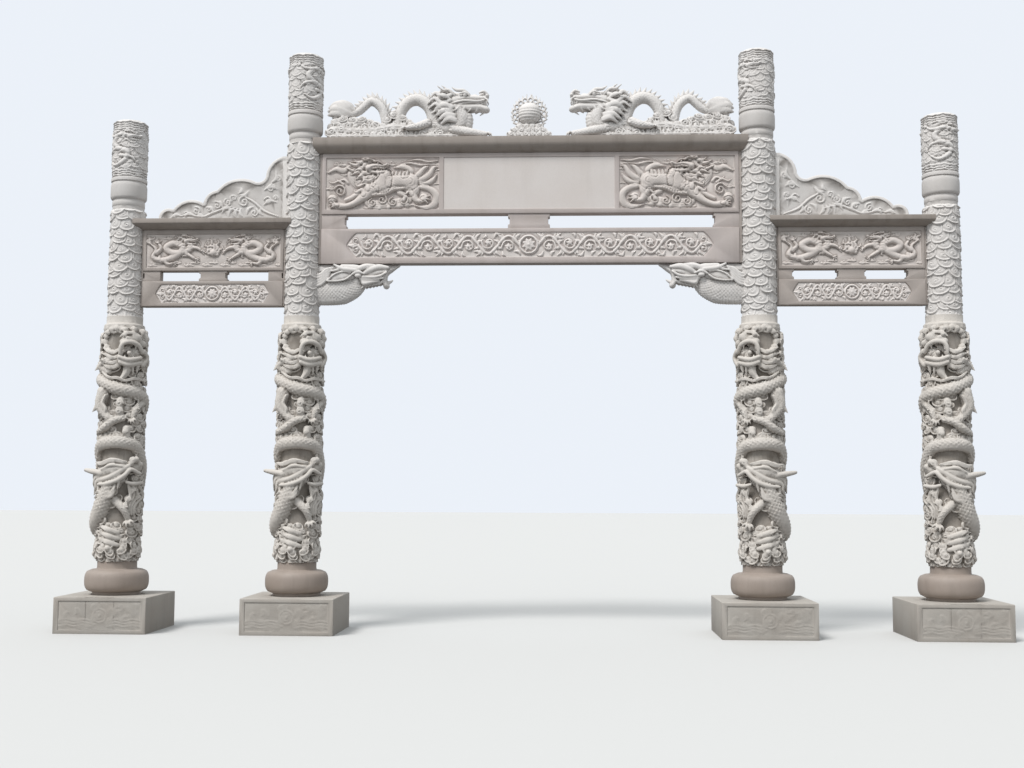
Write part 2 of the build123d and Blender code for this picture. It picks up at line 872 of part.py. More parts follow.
def make_side_bay(side, way):
    """The beams, blocks, jambs and cornice between an inner and an outer column."""
    seat = chord_half(cloud_shaft_radius + seat_clearance, side_beam_thickness / 2)
    inner = inner_axis + seat + side_jamb_width
    outer = outer_axis - seat - side_jamb_width
    axes = sorted((way * inner_axis, way * outer_axis))
    start, end = sorted((way * inner, way * outer))
    middle = (start + end) / 2
    panel_height = side_panel_beam_height - side_panel_top_border - side_panel_bottom_border
    panel = rectangle_field(end - start - 2 * side_panel_side_border, panel_height)
    panel_z = side_panel_beam_foot + side_panel_bottom_border + panel_height / 2
    make_beam(
        f"{side}_side_panel_beam",
        start,
        end,
        side_panel_beam_foot,
        side_panel_beam_height,
        side_beam_thickness,
        [(panel, middle, panel_z, side_panel_sinking)],
    )
    field_height = (
        side_lower_beam_height - side_lower_panel_top_border - side_lower_panel_bottom_border
    )
    scroll = ogee_field(
        (end - start) / 2 - side_lower_panel_side, field_height / 2, side_lower_panel_point
    )
    scroll_z = side_clear_height + side_lower_panel_bottom_border + field_height / 2
    make_beam(
        f"{side}_side_lower_beam",
        start,
        end,
        side_clear_height,
        side_lower_beam_height,
        side_beam_thickness,
        [(scroll, middle, scroll_z, lower_panel_sinking)],
    )
    blocks = [
        (inner, inner + side_inner_block),
        (abs(middle) - side_middle_block / 2, abs(middle) + side_middle_block / 2),
        (outer - side_outer_block, outer),
    ]
    make_blocks(
        f"{side}_side_spacers",
        [sorted((way * near, way * far)) for near, far in blocks],
        side_slot_foot,
        side_slot_height,
        side_jamb_thickness,
    )
    make_jambs(
        f"{side}_side_jambs",
        axes,
        side_jamb_width,
        side_jamb_thickness,
        side_beam_thickness,
        side_clear_height,
        side_cornice_foot,
    )
    make_cornice(
        f"{side}_side_cornice",
        axes,
        side_cornice_depth,
        side_beam_thickness,
        side_cornice_foot,
        side_cove_height,
        side_fascia_height,
    )
    make_gable(f"{side}_side_gable", way)


for column, (column_x, cloud_height) in columns.items():
    make_plinth(f"{column}_plinth", column_x)
    make_drum(f"{column}_drum", column_x)
    make_dragon_shaft(f"{column}_dragon_shaft", column_x)
    make_cloud_shaft(f"{column}_cloud_shaft", column_x, cloud_height)
    make_cap(f"{column}_cap", column_x, cloud_shaft_foot + cloud_height)
make_central_bay()
for side_name, side_way in sides.items():
    make_side_bay(side_name, side_way)
    make_bracket(f"{side_name}_dragon_bracket", side_way)
    make_ridge_dragon(f"{side_name}_ridge_dragon", side_way)
make_pearl("flaming_pearl")
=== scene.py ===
# %% [markdown]
# A ceremonial gateway of carved granite: four round columns, three bays of beams.
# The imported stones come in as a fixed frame. Each cell dresses one kind of stone: plain
# stones get worn edges, turned stones their true round, and carved stones their relief.

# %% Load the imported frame
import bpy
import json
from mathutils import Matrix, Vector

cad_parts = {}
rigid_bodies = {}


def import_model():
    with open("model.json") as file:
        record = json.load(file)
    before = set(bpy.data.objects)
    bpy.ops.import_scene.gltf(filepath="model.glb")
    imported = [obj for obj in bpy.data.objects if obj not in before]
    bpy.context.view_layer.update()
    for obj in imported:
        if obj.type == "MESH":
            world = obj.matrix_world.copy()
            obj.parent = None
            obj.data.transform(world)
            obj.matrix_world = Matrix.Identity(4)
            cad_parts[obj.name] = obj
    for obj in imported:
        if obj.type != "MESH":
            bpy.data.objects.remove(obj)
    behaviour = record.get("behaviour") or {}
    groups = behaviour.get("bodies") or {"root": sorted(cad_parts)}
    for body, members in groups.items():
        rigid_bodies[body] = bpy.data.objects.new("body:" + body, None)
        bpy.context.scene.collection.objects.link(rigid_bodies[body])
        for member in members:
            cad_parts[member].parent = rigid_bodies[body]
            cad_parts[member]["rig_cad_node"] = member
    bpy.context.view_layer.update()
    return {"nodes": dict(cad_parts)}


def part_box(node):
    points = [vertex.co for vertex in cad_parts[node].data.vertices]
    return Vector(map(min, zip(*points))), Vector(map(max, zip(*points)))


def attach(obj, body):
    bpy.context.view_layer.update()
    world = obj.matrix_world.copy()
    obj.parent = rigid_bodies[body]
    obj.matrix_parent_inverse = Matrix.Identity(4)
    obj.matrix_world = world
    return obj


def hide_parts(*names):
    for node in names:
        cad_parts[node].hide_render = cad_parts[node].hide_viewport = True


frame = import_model()

import json
from math import atan2, cos, hypot, pi, radians, sin, sqrt

import bpy
import numpy as np
from mathutils import Matrix, Vector

print("stones in the frame:", len(frame["nodes"]))

# %% [markdown]
# The camera stands where the photographer stood, a little right of the middle, at eye
# height, looking slightly up and left. Its place was worked out from the edges of the
# beams and columns, so the render can be laid over the picture.

# %% Camera
camera_place = Vector((.509, -16.423, 1.746))
camera_yaw, camera_pitch, camera_roll = .04408, .08861, .0044  # radians
picture_width = 1024
focal_length_pixels = 1264
bpy.ops.object.camera_add(location=camera_place)
camera = bpy.context.object
camera.data.sensor_width = 36
camera.data.lens = camera.data.sensor_width * focal_length_pixels / picture_width
turn = Matrix.Rotation(camera_yaw, 4, "Z") @ Matrix.Rotation(pi / 2 + camera_pitch, 4, "X")
turn = turn @ Matrix.Rotation(camera_roll, 4, "Z")
camera.rotation_euler = turn.to_euler()
bpy.context.scene.camera = camera
print("lens", round(camera.data.lens, 2), "mm")

# %% [markdown]
# Every shader here is put together with a few small helpers, so that each one reads as a
# short recipe.

# %% Helpers for shader nodes


def add_node(tree, kind, inputs=None, **settings):
    """Adds a shader node, sets it up and links the inputs that are given as sockets."""
    node = tree.nodes.new(kind)
    for name, value in settings.items():
        setattr(node, name, value)
    for name, value in (inputs or {}).items():
        if isinstance(value, bpy.types.NodeSocket):
            tree.links.new(value, node.inputs[name])
        else:
            node.inputs[name].default_value = value
    return node


def show_camera(tree, seen, others, output):
    """Rays straight from the camera see one shader, and all other rays another."""
    camera_ray = add_node(tree, "ShaderNodeLightPath").outputs["Is Camera Ray"]
    which = add_node(tree, "ShaderNodeMixShader", {0: camera_ray, 1: others.outputs[0], 2: seen.outputs[0]})
    tree.links.new(which.outputs[0], tree.nodes[output].inputs[0])


def new_group(name, takes, gives):
    """An empty shader group with float or vector inputs and float outputs."""
    group = bpy.data.node_groups.new(name, "ShaderNodeTree")
    for label, value in takes.items():
        kind = "NodeSocketVector" if value is None else "NodeSocketFloat"
        made = group.interface.new_socket(label, in_out="INPUT", socket_type=kind)
        if value is not None:
            made.default_value = value
    for label in gives:
        group.interface.new_socket(label, in_out="OUTPUT", socket_type="NodeSocketFloat")
    return group, group.nodes.new("NodeGroupInput").outputs, group.nodes.new("NodeGroupOutput").inputs


def noise(tree, where, scale, detail=3, roughness=.55):
    """Noise from 0 to 1 at a scale given per metre."""
    inputs = {"Vector": where, "Scale": scale, "Detail": detail, "Roughness": roughness}
    return add_node(tree, "ShaderNodeTexNoise", inputs).outputs["Fac"]


def ramp(tree, value, low, high, bottom=0, top=1):
    """Maps low..high to bottom..top and clamps it."""
    inputs = {"Value": value, "From Min": low, "From Max": high, "To Min": bottom, "To Max": top}
    return add_node(tree, "ShaderNodeMapRange", inputs).outputs["Result"]


def math(tree, operation, a, b):
    """One sum on two numbers."""
    return add_node(tree, "ShaderNodeMath", {0: a, 1: b}, operation=operation).outputs[0]


def blend_colour(tree, share, a, b):
    """Mixes two colours by a share. The node has its colours in sockets 6 and 7."""
    return add_node(tree, "ShaderNodeMix", {0: share, 6: a, 7: b}, data_type="RGBA").outputs[2]


# %% [markdown]
# An overcast sky lights the stone from all round and mostly from above. A pale world does
# that, and one wide, weak sun gives the carving its soft shadows. Rays that come straight
# from the camera see a plain pale backdrop, so the backdrop adds no light of its own.

# %% Light, backdrop and floor
scene = bpy.context.scene
scene.view_settings.view_transform = "Standard"
scene.world = bpy.data.worlds.new("overcast")
scene.world.use_nodes = True
sky = scene.world.node_tree
sky_light = sky.nodes["Background"]
sky_light.inputs["Color"].default_value = (.92, .965, 1, 1)
sky_light.inputs["Strength"].default_value = .83
backdrop = add_node(sky, "ShaderNodeBackground", {"Color": (.835, .88, .945, 1)})
show_camera(sky, backdrop, sky_light, "World Output")

bpy.ops.object.light_add(type="SUN", location=(-8, -14, 20))
sun = bpy.context.object
sun.data.energy = 2.9
sun.data.angle = radians(20)
sun.data.color = (1, .985, .97)
sun.rotation_euler = Vector((-.45, -.6, 1)).to_track_quat("Z", "Y").to_euler()

floor_reach = 90
bpy.ops.mesh.primitive_plane_add(size=2 * floor_reach, location=(0, floor_reach / 3, 0))
floor = bpy.context.object
floor.name = "floor"
floor_finish = bpy.data.materials.new("pale_floor")
floor_finish.use_nodes = True
floor_tree = floor_finish.node_tree
pale_floor = floor_tree.nodes["Principled BSDF"]
pale_floor.inputs["Base Color"].default_value = (.55, .55, .54, 1)
pale_floor.inputs["Roughness"].default_value = .9
dull_floor = add_node(floor_tree, "ShaderNodeBsdfDiffuse", {"Color": (.16, .156, .152, 1)})
show_camera(floor_tree, pale_floor, dull_floor, "Material Output")
floor.data.materials.append(floor_finish)
floor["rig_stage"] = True
print("light and floor are set")

# %% [markdown]
# Granite is a fine mix of pale feldspar, grey quartz and dark mica. Every finish on this
# gateway is that one stone, sawn, turned or carved, so grain and weathering are two shader
# groups, built once, and each finish sets its own amounts. The weathering group also paints
# shade into the recesses and highlight onto the raised parts.

# %% Shader group: granite grain
grain_group, grain_in, grain_out = new_group(
    "granite_grain", {"Where": None, "Crystal Scale": 260}, ["Patch", "Feldspar", "Mica", "Height"]
)
crystal = noise(grain_group, grain_in["Where"], grain_in["Crystal Scale"], 2)
coarse = noise(grain_group, grain_in["Where"], 70, 3)
grain_group.links.new(noise(grain_group, grain_in["Where"], 2.2, 4), grain_out["Patch"])
grain_group.links.new(ramp(grain_group, coarse, .52, .68), grain_out["Feldspar"])
grain_group.links.new(ramp(grain_group, crystal, .6, .68), grain_out["Mica"])
grain_group.links.new(math(grain_group, "ADD", crystal, coarse), grain_out["Height"])

# %% Shader group: weathering and painted shade
# Rain washes soot out of the high places and leaves it in the recesses and in streaks. The
# recess darkening is also painted shade, and the paler high places are also painted highlight.
weather_and_shade_group, weather_and_shade_in, weather_and_shade_out = new_group(
    "weather_and_shade", {"Where": None, "Recess": 0, "Soil": 1, "Wear and highlight": 1}, ["Soiling", "Washed and lit", "Streaks"]
)
stretch = add_node(weather_and_shade_group, "ShaderNodeMapping", {"Vector": weather_and_shade_in["Where"], "Scale": (7, 7, .8)})
streak_noise = noise(weather_and_shade_group, stretch.outputs[0], 1, 3, .6)
uneven = ramp(weather_and_shade_group, noise(weather_and_shade_group, weather_and_shade_in["Where"], 5, 4), .3, .7, .55, 1.1)
deep = ramp(weather_and_shade_group, weather_and_shade_in["Recess"], .08, .85)
high = ramp(weather_and_shade_group, weather_and_shade_in["Recess"], -.6, -.05, 1, 0)
# Painted shade mask: how deep a point lies in a recess, standing partly for soot and partly for shade.
soiled_and_shaded = math(weather_and_shade_group, "MULTIPLY", math(weather_and_shade_group, "MULTIPLY", deep, uneven), weather_and_shade_in["Soil"])
weather_and_shade_group.links.new(soiled_and_shaded, weather_and_shade_out["Soiling"])
# Painted highlight: the raised parts are made paler, partly as rain-washed stone and partly as highlight.
weather_and_shade_group.links.new(math(weather_and_shade_group, "MULTIPLY", high, weather_and_shade_in["Wear and highlight"]), weather_and_shade_out["Washed and lit"])
weather_and_shade_group.links.new(ramp(weather_and_shade_group, streak_noise, .5, .74), weather_and_shade_out["Streaks"])

# %% [markdown]
# Each finish is its own material with its own Principled shader. The recess value comes
# from a number stored on the points of every carved mesh. It paints the recesses darker,
# partly as soot and partly as painted shade, and the raised parts paler, partly as wear and
# partly as painted highlight. The plain stones have none, which reads as zero, so the same
# recipe serves both.

# %% Granite finishes
washed_and_lit_gain, mica_gain = 1.25, .62  # raised stone, rain-washed and painted as highlight, is paler than the colour; mica is darker
feldspar_share, mica_share, washed_and_lit_share = .22, .5, .6
pit_depth = .003


def granite(name, colour, warm, soil_and_shade_colour, soil_and_shade, wear_and_highlight, streaks, patch, roughness, bump):
    """A granite finish. Amounts run from 0 to about 1."""
    material = bpy.data.materials.new(name)
    material.use_nodes = True
    tree = material.node_tree
    shader = tree.nodes["Principled BSDF"]
    where = add_node(tree, "ShaderNodeTexCoord").outputs["Object"]
    recess = add_node(tree, "ShaderNodeAttribute", attribute_name="recess").outputs["Fac"]
    grain = add_node(tree, "ShaderNodeGroup", {"Where": where}, node_tree=grain_group).outputs
    exposure = {"Where": where, "Recess": recess, "Soil": soil_and_shade, "Wear and highlight": wear_and_highlight}
    weather_and_shade = add_node(tree, "ShaderNodeGroup", exposure, node_tree=weather_and_shade_group).outputs
    # The pale colour goes on the raised parts: partly wear, partly painted highlight.
    pale = (*(min(1, c * washed_and_lit_gain) for c in colour), 1)
    dull = (*(c * mica_gain for c in colour), 1)
    colour, warm, soil_and_shade_colour = (*colour, 1), (*warm, 1), (*soil_and_shade_colour, 1)
    tone = blend_colour(tree, ramp(tree, grain["Patch"], .35, .68, 0, patch), colour, warm)
    for share, most, over in (
        (grain["Feldspar"], feldspar_share, warm), (grain["Mica"], mica_share, dull),
        (weather_and_shade["Streaks"], streaks, soil_and_shade_colour), (weather_and_shade["Washed and lit"], washed_and_lit_share, pale),
    ):
        tone = blend_colour(tree, ramp(tree, share, 0, 1, 0, most), tone, over)
    # Painted shade: the recesses take the soil colour, partly as soot and partly as the shade that falls in
    # them.
    tone = blend_colour(tree, weather_and_shade["Soiling"], tone, soil_and_shade_colour)
    tree.links.new(tone, shader.inputs["Base Color"])
    rough = ramp(tree, grain["Height"], .6, 1.4, roughness - .08, roughness + .08)
    tree.links.new(rough, shader.inputs["Roughness"])
    pits = {"Height": grain["Height"], "Strength": bump, "Distance": pit_depth}
    tree.links.new(add_node(tree, "ShaderNodeBump", pits).outputs[0], shader.inputs["Normal"])
    shader.inputs["Specular IOR Level"].default_value = .32
    return material


finish_recipes = {  # main, warm and soil-and-shade colours, then soil and shade, wear and highlight, streaks, patches, roughness and bump
    "carved_granite": ((.615, .595, .578), (.575, .535, .5), (.19, .17, .152), .8, .8, .06, .5, .78, .5),
    "dragon_granite": ((.52, .49, .455), (.47, .425, .375), (.19, .165, .14), .85, .85, .08, .55, .8, .5),
    "panel_granite": ((.565, .52, .49), (.525, .465, .43), (.19, .165, .145), .85, .8, .06, .5, .76, .4),
    "plain_granite": ((.49, .44, .42), (.435, .38, .35), (.25, .215, .19), .6, .5, .2, .65, .7, .3),
    # A darker copy of the plain finish: painted shade on the side bays and the jambs.
    "shaded_granite": ((.4, .36, .333), (.35, .305, .275), (.2, .17, .15), .6, .5, .2, .65, .72, .3),
    "cornice_granite": ((.33, .293, .265), (.27, .235, .205), (.13, .11, .095), .6, .5, .35, .7, .74, .35),
    "plaque_granite": ((.64, .6, .575), (.58, .525, .49), (.35, .31, .28), .5, .5, .1, .4, .68, .25),
    "drum_granite": ((.33, .28, .245), (.28, .23, .195), (.14, .12, .1), .6, .5, .2, .7, .58, .25),
    "plinth_granite": ((.41, .385, .35), (.37, .33, .29), (.15, .13, .11), .85, .7, .15, .65, .8, .55),
}
finishes = {name: granite(name, *recipe) for name, recipe in finish_recipes.items()}
record_slots = {
    "panel_granite": "carved_granite", "dragon_granite": "carved_granite",
    "cornice_granite": "plain_granite", "plaque_granite": "plain_granite", "shaded_granite": "plain_granite",
}
print("finishes:", ", ".join(finishes))

# %% [markdown]
# Small helpers that every piece uses: one selects a piece alone, because the frame comes in
# with all stones selected, one makes a mesh object from points and faces, one thins a dense
# mesh to a budget of triangles, and one stores how deep each point lies in the carving.

# %% Helpers for pieces


def focus(piece):
    """Selects one piece alone and makes it active."""
    bpy.ops.object.select_all(action="DESELECT")
    piece.select_set(True)
    bpy.context.view_layer.objects.active = piece


def apply_modifier(piece, kind, **settings):
    """Adds a modifier, sets it up and applies it."""
    modifier = piece.modifiers.new(kind.lower(), kind)
    for name, value in settings.items():
        setattr(modifier, name, value)
    focus(piece)
    bpy.ops.object.modifier_apply(modifier=modifier.name)


def triangles(piece):
    return sum(len(face.vertices) - 2 for face in piece.data.polygons)


def thin(piece, wanted):
    """Removes the points that matter least until about the wanted triangles are left."""
    found = triangles(piece)
    if found > wanted:
        apply_modifier(piece, "DECIMATE", ratio=wanted / found)


def mesh_piece(name, points, faces):
    """A new object from points and faces, at the origin."""
    mesh = bpy.data.meshes.new(name)
    mesh.from_pydata(np.asarray(points).tolist(), [], faces)
    piece = bpy.data.objects.new(name, mesh)
    scene.collection.objects.link(piece)
    return piece


def mark_recesses(piece, full_depth, reach=8):
    """Stores how far each point lies under the smoothed surface round it."""
    mesh = piece.data
    count = len(mesh.vertices)
    place, normal = np.empty(count * 3), np.empty(count * 3)
    mesh.vertices.foreach_get("co", place)
    mesh.vertices.foreach_get("normal", normal)
    place, normal = place.reshape(-1, 3), normal.reshape(-1, 3)
    ends = np.empty(len(mesh.edges) * 2, np.int64)
    mesh.edges.foreach_get("vertices", ends)
    a, b = ends.reshape(-1, 2).T
    degree = np.maximum(np.bincount(a, minlength=count) + np.bincount(b, minlength=count), 1)
    smooth = place.copy()
    for _ in range(reach):
        total = [np.bincount(a, smooth[b, k], count) + np.bincount(b, smooth[a, k], count) for k in range(3)]
        smooth = np.stack(total, 1) / degree[:, None]
    depth = ((smooth - place) * normal).sum(1) / full_depth
    mesh.attributes.new("recess", "FLOAT", "POINT").data.foreach_set("value", np.clip(depth, -1, 1))


def finish_piece(piece, finish, nodes=(), smooth_angle=40, full_depth=.011):
    """Gives a piece its shading, finish and body, and hides the stones that it stands for."""
    focus(piece)
    bpy.ops.object.shade_smooth_by_angle(angle=radians(smooth_angle))
    if full_depth:
        mark_recesses(piece, full_depth)
    piece.data.materials.clear()
    piece.data.materials.append(finishes[finish])
    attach(piece, "root")
    record_slots.get(finish, finish)
    if nodes:
        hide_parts(*nodes)
    return piece


def copy_piece(piece, name, points_change):
    """A copy with its own mesh, its points moved by a function of the point array."""
    mesh = piece.data.copy()
    mesh.name = name
    points = np.empty(len(mesh.vertices) * 3)
    mesh.vertices.foreach_get("co", points)
    moved, mirrored = points_change(points.reshape(-1, 3).copy())
    mesh.vertices.foreach_set("co", moved.ravel())
    if mirrored:
        mesh.flip_normals()
    mesh.update()
    copy = bpy.data.objects.new(name, mesh)
    scene.collection.objects.link(copy)
    return copy


# %% [markdown]
# The plain stones were sawn, so their faces are flat, but no stone edge stays sharp for
# long. A copy of each stone is merged, its flat faces are joined, and a small bevel rounds
# every edge. A bevel catches the light as a real arris does.

# %% Plain stones with worn edges
beam_arris, jamb_arris = .005, .004
plain_stones = {}
for bay, beam, cornice_arris in (
    ("central", "plaque_beam", .009), ("left_side", "panel_beam", .008), ("right_side", "panel_beam", .008),
):
    plain_stones[f"{bay}_cornice"] = cornice_arris
    for stone in (beam, "spacers", "lower_beam"):
        plain_stones[f"{bay}_{stone}"] = beam_arris
    plain_stones[f"{bay}_jambs"] = jamb_arris


def worn_copy(node, arris, finish):
    """A copy of a plain stone with its edges rounded by a small bevel."""
    mesh = frame["nodes"][node].data.copy()
    piece = bpy.data.objects.new(f"{node}_stone", mesh)
    scene.collection.objects.link(piece)
    focus(piece)
    bpy.ops.object.mode_set(mode="EDIT")
    bpy.ops.mesh.select_all(action="SELECT")
    bpy.ops.mesh.remove_doubles(threshold=.00005)
    bpy.ops.mesh.dissolve_limited(angle_limit=radians(1))
    bpy.ops.object.mode_set(mode="OBJECT")
    apply_modifier(
        piece, "BEVEL", width=arris, segments=2, limit_method="ANGLE", angle_limit=radians(32),
        use_clamp_overlap=True,
    )
    return finish_piece(piece, finish, [node], smooth_angle=50, full_depth=0)


for stone, arris in plain_stones.items():
    # The side bays and the jambs get the darker copy of the plain finish, as painted shade.
    shaded = "_side_" in stone or stone.endswith("jambs")
    tone = "cornice_granite" if stone.endswith("cornice") else "shaded_granite" if shaded else "plain_granite"
    worn_copy(stone, arris, tone)
print("worn stones:", len(plain_stones))

# %% [markdown]
# Under every column stands a drum turned on a lathe: a foot, a swelling belly and a neck.
# A ring of points is extruded upwards along the profile, one step at a time, the way a
# potter pulls up a wall. A spin would do as well, but the extrusions keep the rings even.

# %% Turned drums
columns = ("left_outer", "left_inner", "right_inner", "right_outer")
drum_points_round = 96
belly_steps = 12
drum_foot_share = 305 / 405  # of the belly's radius
drum_neck_share = 250 / 405
belly_end_share = 318 / 405
drum_foot_height = .037
drum_belly_height = .287


def drum_profile(radius, height):
    """Radius and height of each ring, from the foot's edge up to the neck's top."""
    foot, neck = radius * drum_foot_share, radius * drum_neck_share
    rings = [(foot - .004, 0), (foot, .004), (foot, drum_foot_height - .003)]
    for step in range(belly_steps + 1):
        way = -1 + 2 * step / belly_steps
        bulge = (1 - abs(way) ** 2.6) ** (1 / 2.1)
        end = radius * belly_end_share
        rings.append((end + (radius - end) * bulge, drum_foot_height + drum_belly_height * (way + 1) / 2))
    belly_top = drum_foot_height + drum_belly_height
    rings += [(neck + .02, belly_top + .004), (neck + .004, belly_top + .012)]
    return rings + [(neck, belly_top + .03), (neck, height - .004), (neck - .004, height)]


def make_drum(column):
    low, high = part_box(f"{column}_drum")
    middle = (low + high) / 2
    rings = drum_profile((high.x - low.x) / 2, high.z - low.z)
    bpy.ops.object.select_all(action="DESELECT")
    bpy.ops.mesh.primitive_circle_add(
        vertices=drum_points_round, radius=rings[0][0], fill_type="NGON",
        location=(middle.x, middle.y, low.z),
    )
    piece = bpy.context.object
    piece.name = f"{column}_drum_turned"
    bpy.ops.object.transform_apply(location=True, rotation=True, scale=True)
    bpy.ops.object.mode_set(mode="EDIT")
    bpy.ops.mesh.select_all(action="SELECT")
    for (radius, height), (wider, higher) in zip(rings, rings[1:]):
        bpy.ops.mesh.extrude_region_move(TRANSFORM_OT_translate={"value": (0, 0, higher - height)})
        centre = (middle.x, middle.y, low.z + higher)
        size = (wider / radius, wider / radius, 1)
        bpy.ops.transform.resize(value=size, center_override=centre)
    bpy.ops.mesh.select_all(action="SELECT")
    bpy.ops.mesh.normals_make_consistent(inside=False)
    bpy.ops.object.mode_set(mode="OBJECT")
    return finish_piece(piece, "drum_granite", [f"{column}_drum"], smooth_angle=35, full_depth=0)


for column in columns:
    make_drum(column)
print("drums:", len(columns))

# %% [markdown]
# Low relief is a height over a flat or unrolled face. The carver draws strokes on the
# stone and lowers the ground round them, so this class does the same: it keeps a grid of
# heights, and each stroke, ball, cloud or leaf is laid over what is there. Modelling every
# curl from primitives would take far more faces, and would not melt into the ground.

# %% Relief: curves


def smooth_line(points, count):
    """Even samples on a smooth curve through the points, in any number of columns."""
    points = np.asarray(points, float)
    if len(points) == 2:
        return points[0] + np.linspace(0, 1, count)[:, None] * (points[1] - points[0])
    padded = np.vstack([2 * points[0] - points[1], points, 2 * points[-1] - points[-2]])
    place = np.linspace(0, len(points) - 1 - 1e-9, count)
    span = place.astype(int)
    t = (place - span)[:, None]
    a, b, c, d = (padded[span + k] for k in range(4))
    return .5 * (2 * b + (c - a) * t + (2 * a - 5 * b + 4 * c - d) * t**2 + (3 * b - a - 3 * c + d) * t**3)


def either(chance):
    """One way round or the other."""
    return chance.choice((-1, 1))


def spread(values, count):
    """A number, or a list of numbers, spread evenly over a line's samples."""
    values = np.atleast_1d(np.asarray(values, float))
    return np.interp(np.linspace(0, 1, count), np.linspace(0, 1, len(values)), values)


def spiral(centre, radius, start, turns, inner=.15, steps=9):
    """Points of a spiral that winds inwards from an angle in degrees."""
    points = []
    for step in range(steps + 1):
        share = step / steps
        reach = radius * (1 - share * (1 - inner))
        angle = radians(start) + 2 * pi * turns * share
        points.append((centre[0] + reach * cos(angle), centre[1] + reach * sin(angle)))
    return points


# %% Relief: textures of a stroke, from the length along it, the offset across and its width


def net(along, across, size):
    """A net of bumps, like overlapping scales: 0 in the seams and 1 in the middles."""
    return np.sqrt(np.abs(np.sin(pi * (along + across) / size) * np.sin(pi * (along - across) / size)))


def scale_net(size, depth):
    """Overlapping scales."""
    return lambda along, across, width: depth * (net(along, across, size) - .6)


def flutes(count, depth):
    """Hair or water: grooves that run along the stroke."""
    return lambda along, across, width: (
        -depth * np.abs(np.cos(count * pi * across / np.maximum(2 * width, 1e-6))) ** 3)


def ribs(size, depth):
    """Belly plates: grooves across the stroke."""
    return lambda along, across, width: -depth * np.abs(np.cos(pi * along / size)) ** 6


def vein(depth):
    """One groove down the middle of a leaf or ribbon."""
    return lambda along, across, width: -depth * np.exp(-((across / np.maximum(.22 * width, 1e-6)) ** 2))


# %% Relief: the grid of heights


